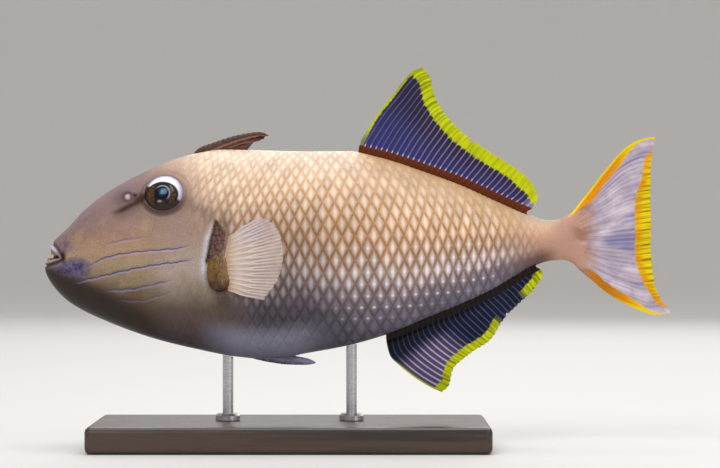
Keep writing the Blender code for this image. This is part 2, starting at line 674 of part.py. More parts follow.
def make_pectoral(name, side, look):
    """A fan of rays on a fleshy lobe, held close along the flank."""
    rows = [0.0, 0.25, 0.5, 0.75, 1.0]
    u, v, on_ray = fin_grid(PECTORAL, rows, 0.03)
    flat = fin_patch(PECTORAL)(u, v)
    x, z = flat[..., 0], flat[..., 1]
    near, far = PECTORAL_STANDS_OFF
    out = flank(x, z) + near + (far - near) * v**1.3
    middle = np.stack([x, side * out, z], axis=-1)
    along = np.gradient(middle, axis=1)
    over = np.gradient(middle, axis=0)
    normal = np.cross(along, over)
    normal /= np.linalg.norm(normal, axis=-1, keepdims=True)
    half = MEMBRANE + np.where(on_ray, RAY_RISE * (1 - 0.5 * v), 0.0)
    fan = fin_solid(name, middle, normal, half)
    lobe_x, lobe_out, lobe_z = LOBE
    lobe = ellipsoid("lobe", on_flank(lobe_x, lobe_z, side, lobe_out), LOBE_SIZE, (0, 0, 0), 16, 10)
    ridge_line = [on_flank(a - 0.6, b, side, 0.9) for a, b in PECTORAL["root"]]
    ridge = tube("ridge", ridge_line, FAN_ROOT_RADII, 2, steps=8)
    joined = combined(fan, [lobe, ridge], "UNION")
    return combined(joined, [body_envelope()], "DIFFERENCE", look)


def make_pelvic_spine(look):
    line = [(x, 0.0, z) for x, z in PELVIC]
    spine = tube("pelvic_spine", line, PELVIC_RADII, 3)
    return combined(spine, [body_envelope()], "DIFFERENCE", look)


def make_base(look):
    bpy.ops.mesh.primitive_cube_add(size=1.0)
    base = adopted("stand_base")
    base.data.transform(Matrix.Diagonal(Vector((*BASE_SIZE, 1.0 / MM)) * MM))
    base.location = (0, 0, 0.5 * BASE_SIZE[2] * MM)
    soft_edge = base.modifiers.new("edge", "BEVEL")
    soft_edge.width = BASE_EDGE * MM
    soft_edge.segments = 3
    return finished(base, look)


def make_rod(name, x, look):
    """A turned rod with a collar, its top trimmed to the belly."""
    bottom = BASE_SIZE[2] + GAP
    top = AXIS_HEIGHT + float(belly(x + SNOUT_AHEAD)) + 6.0
    shoulder = bottom + COLLAR_HEIGHT
    profile = [(0, top), (ROD_RADIUS, top), (ROD_RADIUS, shoulder), (COLLAR_RADIUS - 1, shoulder),
               (COLLAR_RADIUS, shoulder - 1), (COLLAR_RADIUS, bottom), (0, bottom)]
    mesh = bpy.data.meshes.new(name)
    edges = [(i, i + 1) for i in range(len(profile) - 1)]
    mesh.from_pydata([(r * MM, 0, z * MM) for r, z in profile], edges, [])
    rod = scene_object(name, mesh)
    rod.location = (x * MM, 0, 0)
    turned = rod.modifiers.new("turned", "SCREW")
    turned.steps = turned.render_steps = ROD_SIDES
    turned.use_merge_vertices = True
    turned.merge_threshold = 0.00001
    bpy.context.view_layer.update()
    return combined(baked(rod), [body_envelope()], "DIFFERENCE", look)


def build():
    make_head(SKIN)
    make_trunk(SKIN)
    make_tail_stalk(SKIN)
    tooth_row("teeth_upper", UPPER_LIP, IVORY)
    tooth_row("teeth_lower", LOWER_LIP, IVORY)
    for word, side in (("left", -1), ("right", 1)):
        eyeball("eye_" + word, side, look=EYE_DARK)
        make_pectoral("pectoral_fin_" + word, side, PALE_FIN)
    make_median_fin("dorsal_fin_rear", REAR_DORSAL, True, dorsal_sway, FIN_BLUE)
    make_median_fin("anal_fin", ANAL, False, anal_sway, FIN_BLUE)
    make_tail_fin(TAIL_LILAC)
    make_front_dorsal(SPINE_BROWN)
    make_pelvic_spine(PALE_FIN)
    make_base(DARK_WOOD)
    for word, x in ROD_PLACES.items():
        make_rod("stand_rod_" + word, x, STEEL)
    for piece in fish_parts.objects:
        piece.data.shade_smooth()
        piece.data.set_sharp_from_angle(angle=math.radians(35))


for old in list(bpy.data.objects):
    bpy.data.objects.remove(old)
fish_parts = bpy.data.collections.new("triggerfish")
bpy.context.scene.collection.children.link(fish_parts)
build()
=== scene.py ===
import math

import bpy
import numpy as np
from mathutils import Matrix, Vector


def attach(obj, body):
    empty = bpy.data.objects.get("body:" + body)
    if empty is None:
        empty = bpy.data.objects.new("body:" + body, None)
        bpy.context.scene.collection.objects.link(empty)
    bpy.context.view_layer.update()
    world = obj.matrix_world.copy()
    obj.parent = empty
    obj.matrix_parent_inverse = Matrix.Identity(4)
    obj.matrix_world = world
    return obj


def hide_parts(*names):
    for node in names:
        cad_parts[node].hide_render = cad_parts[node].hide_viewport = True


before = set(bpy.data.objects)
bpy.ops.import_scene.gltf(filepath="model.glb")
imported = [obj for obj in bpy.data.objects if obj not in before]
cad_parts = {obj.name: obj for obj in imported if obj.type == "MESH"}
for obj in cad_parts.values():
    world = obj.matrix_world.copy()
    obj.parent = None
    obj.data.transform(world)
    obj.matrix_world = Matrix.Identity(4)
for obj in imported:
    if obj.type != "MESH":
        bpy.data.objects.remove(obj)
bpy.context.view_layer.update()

# All sizes are in mm on the fish: x back from the snout's tip, z up from the body's axis,
# side -1 for the left flank and 1 for the right. The last step turns them into metres.
setup = {"axisHeight": 88.0, "snoutAhead": 110.0}
flanks = ((-1, "Left"), (1, "Right"))

body = {
    "back": [(0.3, -7.4), (1.0, -5.8), (1.8, -2.0), (2.8, 2.0), (5.3, 4.9), (10.7, 10.2),
             (17.8, 17.8), (24.9, 23.6), (35.6, 30.3), (46.3, 35.6), (57.0, 40.1), (67.7, 43.2),
             (80.0, 44.9), (118.5, 44.1), (136.0, 44.2), (149.7, 41.6), (169.3, 35.4),
             (185.3, 29.6), (200.5, 22.8), (215.2, 16.4), (225.0, 13.4), (233.0, 14.6)],
    "belly": [(0.3, -9.3), (1.3, -12.5), (2.7, -15.1), (7.1, -20.0), (14.3, -25.4),
              (24.9, -30.7), (49.9, -39.9), (67.7, -44.3), (85.5, -47.7), (97.0, -48.7),
              (106.0, -48.3), (116.7, -46.3), (135.4, -42.8), (156.8, -36.5), (171.1, -30.6),
              (185.3, -24.9), (199.6, -18.3), (210.3, -12.0), (217.4, -7.9), (225.0, -5.2),
              (233.0, -4.5)],
    "halfWidth": [(0.3, 2.4), (2.8, 4.8), (5.3, 6.3), (10.7, 9.0), (17.8, 11.8), (24.9, 14.0),
                  (35.6, 16.6), (50.0, 19.0), (70.0, 21.0), (90.0, 21.6), (118.5, 20.4),
                  (140.0, 18.0), (160.0, 15.0), (180.0, 11.8), (200.0, 8.6), (215.0, 6.4),
                  (225.0, 5.3), (233.0, 4.4)],
    "widestHeight": [(0.3, -8.3), (5.0, -9.0), (30.0, -8.0), (75.0, -4.0), (150.0, 1.0),
                     (233.0, 4.8)],
    "bluntAbove": [(0.3, 1.0), (30.0, 0.92), (60.0, 0.86), (120.0, 1.0), (180.0, 1.12),
                   (233.0, 1.0)],
    "bluntBelow": [(0.3, 1.0), (30.0, 1.02), (80.0, 1.12), (120.0, 1.2), (180.0, 1.2),
                   (233.0, 1.0)],
    "start": 0.3,
    "end": 233.0,
    "skinInset": 0.22,  # the skin lies this far inside the solids, which the scales fill
    "pointsAround": 320,
    "snoutRings": 34,
    "ringSpacing": 0.48,  # of the head, which reaches to fineTo
    "fineTo": 80.0,
    "trunkRings": 118,
}


def smoothLine(points):
    # a smooth function through (position, value) points that never overshoots them
    x, y = np.array(points, float).T
    step = np.diff(x)
    rise = np.diff(y) / step
    slope = np.zeros(len(x))
    slope[0], slope[-1] = rise[0], rise[-1]
    for i in range(1, len(x) - 1):
        if rise[i - 1] * rise[i] > 0:
            before, after = 2 * step[i] + step[i - 1], step[i] + 2 * step[i - 1]
            slope[i] = (before + after) / (before / rise[i - 1] + after / rise[i])

    def value(at):
        at = np.clip(np.asarray(at, float), x[0], x[-1])
        i = np.clip(np.searchsorted(x, at) - 1, 0, len(step) - 1)
        t = (at - x[i]) / step[i]
        flat = y[i] * (1 + 2 * t) * (1 - t) ** 2 + y[i + 1] * t * t * (3 - 2 * t)
        return flat + step[i] * t * (1 - t) * (slope[i] * (1 - t) - slope[i + 1] * t)

    return value


def smoothCurve(points, samples=240):
    # points of a smooth curve by share of its length
    points = np.array(points, float)
    chord = np.concatenate([[0], np.cumsum(np.linalg.norm(np.diff(points, axis=0), axis=1))])
    at = np.linspace(0, chord[-1], samples)
    line = np.stack([smoothLine(list(zip(chord, column)))(at) for column in points.T], axis=1)
    length = np.concatenate([[0], np.cumsum(np.linalg.norm(np.diff(line, axis=0), axis=1))])
    share = length / length[-1]

    def place(t):
        return np.stack([np.interp(t, share, column) for column in line.T], axis=-1)

    return place


def soft(value, low, high):
    # 0 below low and 1 above high, with a smooth rise between
    t = np.clip((np.asarray(value, float) - low) / (high - low), 0, 1)
    return t * t * (3 - 2 * t)


def between(value, low, lowFull, highFull, high):
    # 1 from lowFull to highFull, and 0 below low and above high
    return soft(value, low, lowFull) * (1 - soft(value, highFull, high))


def hump(value, centre, width):
    return np.exp(-(((value - centre) / width) ** 2))


def spot(x, z, centre, size, width=1.0):
    # an oval that fades out from its centre in the side view
    return hump(np.hypot((x - centre[0]) / size[0], (z - centre[1]) / size[1]), 0.0, width)


def turns(count):
    # angles spread evenly round a ring
    return np.arange(count) * 2 * math.pi / count


back, belly, halfWidth = (smoothLine(body[k]) for k in ("back", "belly", "halfWidth"))
widestHeight = smoothLine(body["widestHeight"])
bluntAbove, bluntBelow = smoothLine(body["bluntAbove"]), smoothLine(body["bluntBelow"])


def sectionAt(x, angle):
    # half width and height of the body at an angle from the back (0) to the belly (pi)
    middle = widestHeight(x)
    upper = np.cos(angle) >= 0
    reach = np.where(upper, back(x) - middle, middle - belly(x))
    blunt = np.where(upper, bluntAbove(x), bluntBelow(x))
    side = np.abs(np.sin(angle)) ** blunt * halfWidth(x)
    return side, middle + np.cos(angle) * reach


def flank(x, z):
    # half width of the body at a height
    middle = widestHeight(x)
    above = z >= middle
    reach = np.where(above, back(x) - middle, middle - belly(x))
    share = np.clip(np.abs(z - middle) / reach, 0, 1)
    blunt = np.where(above, bluntAbove(x), bluntBelow(x))
    return halfWidth(x) * (1 - share**2) ** (blunt / 2)


# The angle at each share of the half girth, so that points can be spread evenly round the body
girthStations = np.linspace(body["start"], body["end"], 467)
girthShares = np.linspace(0, 1, 201)
fineAngle = np.linspace(0, math.pi, 721)
fineSide, fineHeight = sectionAt(girthStations[:, None], fineAngle[None])
fineStep = np.hypot(np.diff(fineSide, axis=1), np.diff(fineHeight, axis=1))
fineArc = np.concatenate([np.zeros((len(girthStations), 1)), np.cumsum(fineStep, axis=1)], axis=1)
halfGirths = fineArc[:, -1]
angleTable = np.stack([np.interp(girthShares * arc[-1], arc, fineAngle) for arc in fineArc])


def angleAt(x, share):
    lastStation, lastShare = len(girthStations) - 1, len(girthShares) - 1
    i = np.clip((x - girthStations[0]) / (girthStations[1] - girthStations[0]), 0, lastStation - 0.001)
    j = np.clip(share * lastShare, 0, lastShare - 0.001)
    i0, j0 = i.astype(int), j.astype(int)
    fi, fj = i - i0, j - j0
    low = angleTable[i0, j0] * (1 - fj) + angleTable[i0, j0 + 1] * fj
    high = angleTable[i0 + 1, j0] * (1 - fj) + angleTable[i0 + 1, j0 + 1] * fj
    return low * (1 - fi) + high * fi


def halfGirth(x):
    return np.interp(x, girthStations, halfGirths)


def bodyPoint(x, share):
    # a point of the right flank by share of the half girth. Past the midline it goes on round
    x, share = np.broadcast_arrays(np.asarray(x, float), np.asarray(share, float))
    folded = np.abs(share)
    folded = np.where(folded > 1, 2 - folded, folded)
    way = np.where((share < 0) | (share > 1), -1.0, 1.0)
    side, z = sectionAt(x, angleAt(x, folded))
    return np.stack([x, way * side, z], axis=-1)


def outward(x, share):
    stepX, stepShare = 0.5, 0.004
    along = bodyPoint(np.clip(x + stepX, body["start"], body["end"]), share)
    along = along - bodyPoint(np.clip(x - stepX, body["start"], body["end"]), share)
    around = bodyPoint(x, share + stepShare) - bodyPoint(x, share - stepShare)
    normal = np.cross(along, around)
    return normal / np.maximum(np.linalg.norm(normal, axis=-1, keepdims=True), 1e-9)


print("body surface ready")

eyes = {
    "radius": 10.0, "depth": 5.9, "inset": 3.2,
    "tallness": 0.92,  # height of the eye for each part of its width
    "mapWidth": 24.0,
    "irisCentre": (-0.45, -1.35), "irisSize": (7.75, 6.0),
    "pupilCentre": (-0.1, -1.1), "pupilRadius": 3.35,
    "white": (0.80, 0.80, 0.80), "whiteEdge": (0.42, 0.36, 0.58), "brown": (0.014, 0.007, 0.005),
    # pupilHighlight is a painted highlight: the lens's blue reflection in the pupil's middle
    "gold": (0.115, 0.055, 0.012), "pupil": (0.003, 0.004, 0.012), "pupilHighlight": (0.012, 0.11, 0.22),
    "ring": (0.22, 0.27, 0.48), "glint": (0.42, 0.26, 0.26), "lid": (0.022, 0.011, 0.011),
}

# Head: eye, nostrils, fold before the eye, cheek grooves, gill cover and mouth
face = {
    "eye": (54.4, 25.2),
    "eyeOpening": 8.5,
    "rimRadius": 9.2,
    "rimHeight": 0.75,
    "frontNostril": (38.1, 23.4),
    "rearNostril": (41.4, 24.0),
    "fold": [(29.5, 15.2), (35.4, 17.5), (40.0, 19.9), (43.9, 21.8), (46.5, 23.2)],
    "grooves": [
        [(27.4, 2.3), (38.0, 4.6), (48.4, 5.9)],
        [(19.6, -7.9), (25.0, -4.8), (31.5, -2.5), (41.0, -0.9), (53.0, 0.2), (62.0, 1.0),
         (68.4, 3.0)],
        [(15.1, -14.0), (27.0, -11.4), (41.0, -8.2), (54.0, -6.0), (63.3, -4.8), (69.9, -2.9)],
        [(28.1, -17.6), (39.2, -17.1), (49.5, -15.1), (60.6, -12.5)],
        [(34.1, -21.7), (44.3, -22.0), (52.1, -20.0), (60.6, -17.6)],
    ],
    "grooveStrength": [0.45, 0.9, 1.0, 0.8, 0.4],
    "grooveDepth": 0.45,
    "gillFront": [(-14.0, 73.2), (-6.2, 73.0), (-0.5, 73.8), (4.8, 74.8), (9.0, 76.0), (14.5, 77.4)],
    "gillWidth": [(-7.0, 0.3), (-4.0, 3.6), (0.0, 7.0), (4.8, 7.2), (10.0, 3.9), (14.0, 0.3)],
    "gillDepth": 2.1,
}
grooveLines = [smoothLine(line) for line in face["grooves"]]
foldLine = smoothLine(face["fold"])
gillFront, gillWidth = smoothLine(face["gillFront"]), smoothLine(face["gillWidth"])


def eyeFrame(side):
    # the eye's place on the skin, with the directions back, up and out there
    x, z = face["eye"]
    slopeX = float(flank(x + 0.5, z) - flank(x - 0.5, z))
    slopeZ = float(flank(x, z + 0.5) - flank(x, z - 0.5))
    out = Vector((-slopeX, side, -slopeZ)).normalized()
    across = (out.cross(Vector((0, 0, 1))) * side).normalized()
    upward = (across.cross(out) * side).normalized()
    centre = Vector((x, side * float(flank(x, z)), z))
    return np.array(centre), np.array(across), np.array(upward), np.array(out)


def eyeReach(points):
    # distance from the right eye's middle within the plane of the skin there
    centre, across, upward, out = eyeFrame(1)
    apart = points - centre
    tall = apart @ upward / eyes["tallness"]
    return np.hypot(apart @ across, tall) + 30.0 * (apart @ out < -12.0)


def grooveRuns(x, z, wave=0.0):
    # signed distance to each cheek groove, and how strong the groove is there
    for line, path, strength in zip(grooveLines, face["grooves"], face["grooveStrength"]):
        start, end = path[0][0], path[-1][0]
        slope = line(x + 0.5) - line(x - 0.5)
        wavy = wave * (0.16 * np.sin(0.9 * x + path[0][1]) + 0.1 * np.sin(2.3 * x))
        apart = (z - line(x) + wavy) / np.sqrt(1 + slope**2)
        yield apart, between(x, start - 2.0, start + 7.0, end - 9.0, end + 1.0) * strength


def grooves(x, z, offset, width):
    # how near a line is that runs at an offset from the cheek grooves
    near = np.zeros(np.shape(x))
    for apart, strength in grooveRuns(x, z):
        near = np.maximum(near, strength * hump(apart, offset, width))
    return near


def nearestGroove(x, z):
    # signed distance to the nearest cheek groove, slightly wavy, and that groove's strength
    nearest, strongest = np.full(np.shape(x), 9.0), np.zeros(np.shape(x))
    for apart, strength in grooveRuns(x, z, 1.0):
        closer = np.abs(apart) < np.abs(nearest)
        nearest, strongest = np.where(closer, apart, nearest), np.where(closer, strength, strongest)
    return nearest, strongest


def gillShare(x, z):
    # 0 at the gill cover's edge and 1 where the gill opening ends behind it
    return (x - gillFront(z)) / gillWidth(z)


def nostrilReach(x, z):
    # distances in the side view to the front and the rear nostril
    return [np.hypot(x - at[0], z - at[1]) for at in (face["frontNostril"], face["rearNostril"])]


def headRelief(points):
    # how far the head's forms stand out of the plain body surface
    x, z = points[..., 0], points[..., 2]
    rise = np.zeros(x.shape)
    depth = face["grooveDepth"]
    rise -= depth * grooves(x, z, 0.0, 0.55)
    rise += depth * (0.3 * grooves(x, z, -1.2, 0.6) + 0.15 * grooves(x, z, 1.2, 0.6))
    reach = eyeReach(points)
    opening, rim = face["eyeOpening"], face["rimRadius"]
    rise += face["rimHeight"] * hump(reach, rim + 0.1, 0.85)
    rise -= 0.35 * hump(reach, rim + 2.0, 0.8)
    rise += 0.12 * hump(reach, rim + 3.3, 0.7)
    rise = np.where(reach < rim, rise - 3.2 * (1 - soft(reach, opening - 1.0, opening + 0.35)), rise)
    start, end = face["fold"][0][0], face["fold"][-1][0]
    apart = (z - foldLine(x)) * 0.9
    along = between(x, start - 1, start + 8, end - 1, end + 1.5)
    rise -= 0.95 * along * hump(apart, 0.0, 0.85)
    rise += 0.4 * along * hump(apart, 1.9, 0.9)
    nearFront, nearRear = nostrilReach(x, z)
    rise += 0.75 * hump(nearFront, 0.0, 0.8) - 0.3 * hump(nearFront, 1.9, 0.5)
    rise += 0.3 * hump(nearRear, 1.25, 0.4) - 1.1 * hump(nearRear, 0.0, 0.75)
    inside = between(gillShare(x, z), 0.0, 0.13, 0.1, 1.05)
    rise -= face["gillDepth"] * between(z, -7.0, -4.5, 11.0, 14.3) * inside
    ahead = gillFront(z) - x
    edgeTall = between(z, -17.0, -9.0, 12.0, 16.0)
    rise += edgeTall * (0.55 * hump(ahead, 0.5, 1.1) - 0.25 * hump(ahead, 3.2, 1.2))
    rise += 0.5 * hump(x, 63.0, 6.0) * hump(z, -6.0, 15.0)  # the gill cover's swell
    rise -= 0.45 * hump(x, 44.0, 7.0) * hump(z, 13.0, 4.0)  # the hollow under eye and fold
    return rise


def rightFlank(points):
    # the same points all on the right side
    return np.stack([points[..., 0], np.abs(points[..., 1]), points[..., 2]], axis=-1)


def reliefAt(points):
    plain = rightFlank(points)
    near = plain[..., 0] < 92
    rise = np.zeros(near.shape)
    rise[near] = headRelief(plain[near])
    return rise - body["skinInset"]


def skinPoint(x, share):
    # a point on the skin with its outward direction
    points = bodyPoint(x, share)
    normal = outward(x, share)
    return points + normal * reliefAt(points)[..., None], normal


# Colour fields: how the skin's tones lie over the body
tones = {
    "greyFrom": [(8.0, -9.0), (16.0, -12.0), (25.0, -16.5), (34.0, -19.0), (43.0, -21.0),
                 (60.0, -22.0), (81.0, -19.5), (92.0, -21.5), (114.0, -18.0), (136.0, -19.5),
                 (158.0, -18.0), (181.0, -12.5), (203.0, -6.0), (225.0, 0.0), (233.0, 1.5)],
    "greyTone": 0.7,
    "headEnds": (62.0, 86.0),
    # painted shade spots as centre, size and strength: before the eye, at the gills' ends and on the belly
    "shadeSpots": [((43.6, 22.0), (4.2, 3.6), 0.9), ((80.5, 11.0), (5.0, 7.0), 0.6),
                  ((81.0, -22.0), (4.5, 5.0), 0.6), ((124.0, -34.0), (20.0, 7.0), 0.34)],
    # painted shade in dark red-brown at the corners of the fold and the mouth
    "redSpots": [((44.9, 23.2), (2.6, 2.3)), ((9.3, -3.0), (1.1, 2.1))],
    "eyeBand": ((61.8, 22.9), (14.4, -8.5)),  # start and run of the shade behind the eye
}
greyFrom = smoothLine(tones["greyFrom"])


def headLean(x, z):
    # stations on a line that leans back upwards, as the end of the head does
    return x + 0.35 * (z - 10)


def skinFields(points):
    # named values that the materials of skin and scales both read
    plain = rightFlank(points)
    x, z = plain[..., 0], plain[..., 2]
    # the tone runs from the back (0) to the belly (1). The colours darken along it: partly the fish's own
    # colour and partly painted shade of the light from above
    edge, grey = greyFrom(x), tones["greyTone"]
    above = grey * (back(x) - z) / (back(x) - edge)
    below = grey + (1 - grey) * (edge - z) / np.maximum(edge - belly(x), 1.0)
    reach = eyeReach(plain)
    start, end = face["fold"][0][0], face["fold"][-1][0]
    along = between(x, start - 1, start + 7, end, end + 2)
    nearFront, nearRear = nostrilReach(x, z)
    # painted shade in dark red-brown: in the fold before the eye, round the nostrils, under the eye's rim and
    # at the listed spots
    reds = [0.95 * along * hump((z - foldLine(x)) * 0.9, -0.1, 0.95), 0.75 * hump(nearFront, 2.0, 0.7),
            0.95 * hump(nearRear, 0.0, 1.1), 0.5 * hump(reach, 9.3, 0.8) * soft(24.0 - z, -4.0, 4.0)]
    reds += [spot(x, z, centre, size) for centre, size in tones["redSpots"]]
    (bandX, bandZ), (runX, runZ) = tones["eyeBand"]
    part = np.clip(((x - bandX) * runX + (z - bandZ) * runZ) / 280, 0, 1)
    band = np.hypot(x - bandX - runX * part, z - bandZ - runZ * part)
    shades = [0.85 * hump(reach, 9.4, 2.9) * soft(26.5 - z, -2.0, 9.0), 0.45 * hump(reach, 9.8, 1.7),
              0.6 * along * hump(z - foldLine(x) + 1.0, 0.0, 4.2),
              0.55 * spot(x, z, (36.0, 22.5), (1.0, 1.0), 5.5),
              0.5 * hump(band, 0.0, 4.2) * soft(reach, 8.0, 10.0)]
    shades += [strength * spot(x, z, centre, size) for centre, size, strength in tones["shadeSpots"]]
    slit = between(z, -7.5, -5.0, 12.0, 14.6) * between(gillShare(x, z), 0.0, 0.1, 0.9, 1.2)
    slit = np.maximum(slit, 0.9 * spot(x, z, (80.0, -15.5), (3.4, 5.6)))
    pale = 0.75 * hump(gillFront(z) - x, 0.9, 1.25) * between(z, -17.0, -7.0, 5.0, 14.0)
    violet = np.hypot((x - 13.4) / 11.2, (z + 8.6 - 0.12 * (x - 13)) / 6.6)
    violet = np.maximum(1 - soft(violet, 0.4, 1.15), 0.62 * spot(x, z, (10.0, 1.5), (4.6, 5.0)))
    root = np.where(z > 5.0, back(x) - z, 99.0)
    nearest, strongest = nearestGroove(x, z)
    return {"tone": np.where(z >= edge, above, below), "head": 1 - soft(headLean(x, z), *tones["headEnds"]),
            "groove": nearest, "grooveAway": np.abs(nearest), "grooveFade": strongest,
            "eyeReach": reach, "red": np.max(reds, axis=0), "slit": slit,
            # the pale mark: the gill cover's rim, and the front nostril's pale tip, partly its own colour and
            # partly painted highlight
            "pale": np.maximum(pale, hump(nearFront, 0.0, 1.05)), "violet": violet,
            "chin": (1 - soft(x, 30.0, 58.0)) * (1 - soft(z + 6.4 + 0.43 * x, -3.2, 3.2)),
            "shade": np.max(shades, axis=0),
            "keelPale": (1 - soft(z - belly(x), 8.0, 18.0)) * between(x, 66.0, 88.0, 110.0, 136.0),
            "finBase": hump(root, 0.0, 9.0) * between(x, 134.0, 150.0, 206.0, 219.0)}


# Scales lie on a lattice: a counts columns along the body and b counts rows up from the axis
lattice = {
    "columnWidth": [(8.0, 4.3), (60.0, 4.5), (100.0, 4.6), (114.0, 4.9), (128.0, 5.6),
                    (145.0, 5.6), (160.0, 5.1), (176.0, 4.7), (194.0, 4.4), (207.0, 4.1),
                    (220.0, 3.2), (233.0, 2.6)],
    "rowHeight": [(8.0, 5.6), (60.0, 5.7), (92.0, 4.6), (112.0, 4.9), (128.0, 5.35),
                  (190.0, 5.35), (207.0, 4.5), (220.0, 3.1), (233.0, 2.6)],
    "axis": [(8.0, -3.0), (80.0, 0.0), (150.0, 1.0), (233.0, 4.8)],
    "gather": 0.28,  # how much more the scales crowd towards the back
    "rowGather": 0.2,
    "gatherFrom": 118.0,
    "height": 0.30,
    "rimSink": 0.3,  # share of a scale's height that its rim lies under the skin
    "skirt": 1.2,  # depth of each scale's root under its rim
    "quads": 9,
    "lastScale": 222.5,
    "fullHeightFrom": (62.0, 84.0),
    "bodyFrom": 74.0,  # where the plates of the head end and those of the body begin
    "underDorsal": (138.0, 217.0),
    "overAnal": (150.0, 220.0),
    "smallest": 0.12,  # plates with less than this share above the skin are left out
}
columnWidth, rowHeight = smoothLine(lattice["columnWidth"]), smoothLine(lattice["rowHeight"])
spacing = 0.25
columnAt = np.arange(0.0, 236.0 + spacing, spacing)
columnCount = np.concatenate([[0], np.cumsum(spacing / columnWidth(columnAt[:-1] + spacing / 2))])
axisLine = smoothLine(lattice["axis"])
axisAngle = [np.interp(-axisLine(x), -heights, fineAngle) for x, heights in zip(girthStations, fineHeight)]
axisArc = np.array([np.interp(a, fineAngle, arc) for a, arc in zip(axisAngle, fineArc)])
climb = np.linspace(-70, 70, 281)
climbCrowded = np.where(climb > 0, climb * (1 + lattice["rowGather"] * (climb / 45) ** 2), climb)
gatherCount = float(np.interp(lattice["gatherFrom"], columnAt, columnCount))


def crowding(arc):
    return 1 + lattice["gather"] * np.clip(arc / 45, 0, 1.2) ** 2


def latticeOf(x, share):
    arc = np.interp(x, girthStations, axisArc) - share * halfGirth(x)
    a = gatherCount + (np.interp(x, columnAt, columnCount) - gatherCount) * crowding(arc)
    return np.stack([a, np.interp(arc, climb, climbCrowded) / rowHeight(x)], axis=-1)


def placeOf(a, b):
    # the station and the share of the half girth at a place on the lattice
    x = np.interp(a, columnCount, columnAt)
    for turn in range(5):
        arc = np.interp(b * rowHeight(x), climbCrowded, climb)
        x = np.interp(gatherCount + (a - gatherCount) / crowding(arc), columnCount, columnAt)
    arc = np.interp(b * rowHeight(x), climbCrowded, climb)
    return x, (np.interp(x, girthStations, axisArc) - arc) / halfGirth(x)


# Mesh building
def inMetres(points):
    shifted = np.asarray(points, float) + [-setup["snoutAhead"], 0, setup["axisHeight"]]
    return shifted * 0.001


def facedOut(points, faces):
    # turns a closed surface's faces outwards
    a, b, c, d = (points[faces[:, k]] for k in range(4))
    volume = np.einsum("ij,ij->i", a, np.cross(b, c) + np.cross(c, d)).sum()
    return faces if volume > 0 else faces[:, ::-1]


def makePiece(name, points, faces, look, replaced=(), maps=None, fields=None, sharp=None):
    # a mesh piece that rides on the body, with its UV maps and named values
    mesh = bpy.data.meshes.new(name)
    mesh.vertices.add(len(points))
    mesh.vertices.foreach_set("co", inMetres(points).ravel())
    mesh.loops.add(faces.size)
    mesh.loops.foreach_set("vertex_index", faces.ravel().astype(np.int32))
    mesh.polygons.add(len(faces))
    mesh.polygons.foreach_set("loop_start", np.arange(0, faces.size, 4, dtype=np.int32))
    mesh.update(calc_edges=True)
    for label, places in (maps or {}).items():
        layer = mesh.uv_layers.new(name=label)
        corners = places if places.ndim == 3 else places[faces]
        layer.data.foreach_set("uv", corners.reshape(-1).astype(np.float32))
    for label, values in (fields or {}).items():
        layer = mesh.attributes.new(label, "FLOAT", "POINT")
        layer.data.foreach_set("value", np.asarray(values, np.float32).ravel())
    mesh.shade_smooth()
    if sharp:
        mesh.set_sharp_from_angle(angle=math.radians(sharp))
    piece = bpy.data.objects.new(name, mesh)
    bpy.context.scene.collection.objects.link(piece)
    piece.data.materials.append(look)
    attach(piece, "root")
    if replaced:
        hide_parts(*replaced)
    return piece


def ringFaces(count, around, closed=True):
    # quads between rings of points laid one after the other
    i = np.arange(count - 1)[:, None] * around
    j = np.arange(around if closed else around - 1)[None]
    k = (j + 1) % around
    return np.stack([i + j, i + k, i + around + k, i + around + j], axis=-1).reshape(-1, 4)


def capFaces(first, around):
    # a ladder of quads across a ring with an even number of points
    m = np.arange(around // 2 - 1)
    return first + np.stack([m, m + 1, around - 2 - m, around - 1 - m], axis=-1)


def loftFaces(count, around):
    return np.concatenate([ringFaces(count, around), capFaces(0, around)[:, ::-1],
                           capFaces((count - 1) * around, around)])


def closedLoft(rings):
    points, faces = rings.reshape(-1, 3), loftFaces(*rings.shape[:2])
    return points, facedOut(points, faces)


def joined(parts):
    # several meshes as one
    points = np.concatenate([part[0] for part in parts])
    starts = np.cumsum([0] + [len(part[0]) for part in parts[:-1]])
    faces = np.concatenate([part[1] + start for part, start in zip(parts, starts)])
    return points, faces


def tubeRings(line, radii, around=20, flatten=1.0):
    # rings round a line in the middle plane, flattened across the fish
    ahead = np.gradient(line, axis=0)
    ahead /= np.linalg.norm(ahead, axis=1, keepdims=True)
    sideways = np.broadcast_to([0.0, 1.0, 0.0], line.shape)
    up = np.cross(ahead, sideways)
    up /= np.linalg.norm(up, axis=1, keepdims=True)
    angle = turns(around)
    radii = radii[:, None, None]
    ring = np.cos(angle)[None, :, None] * up[:, None] * radii
    return line[:, None] + ring + flatten * np.sin(angle)[None, :, None] * sideways[:, None] * radii


# Materials
class Signal:
    # one output of a shader node. Plain arithmetic on it makes the Math nodes
    def __init__(self, recipe, socket):
        self.recipe, self.socket = recipe, socket

    def __add__(self, other):
        return self.recipe.calc("ADD", self, other)

    def __radd__(self, other):
        return self.recipe.calc("ADD", other, self)

    def __sub__(self, other):
        return self.recipe.calc("SUBTRACT", self, other)

    def __rsub__(self, other):
        return self.recipe.calc("SUBTRACT", other, self)

    def __mul__(self, other):
        return self.recipe.calc("MULTIPLY", self, other)

    def __truediv__(self, other):
        return self.recipe.calc("DIVIDE", self, other)

    def __pow__(self, other):
        return self.recipe.calc("POWER", self, other)

    def __abs__(self):
        return self.recipe.calc("ABSOLUTE", self)


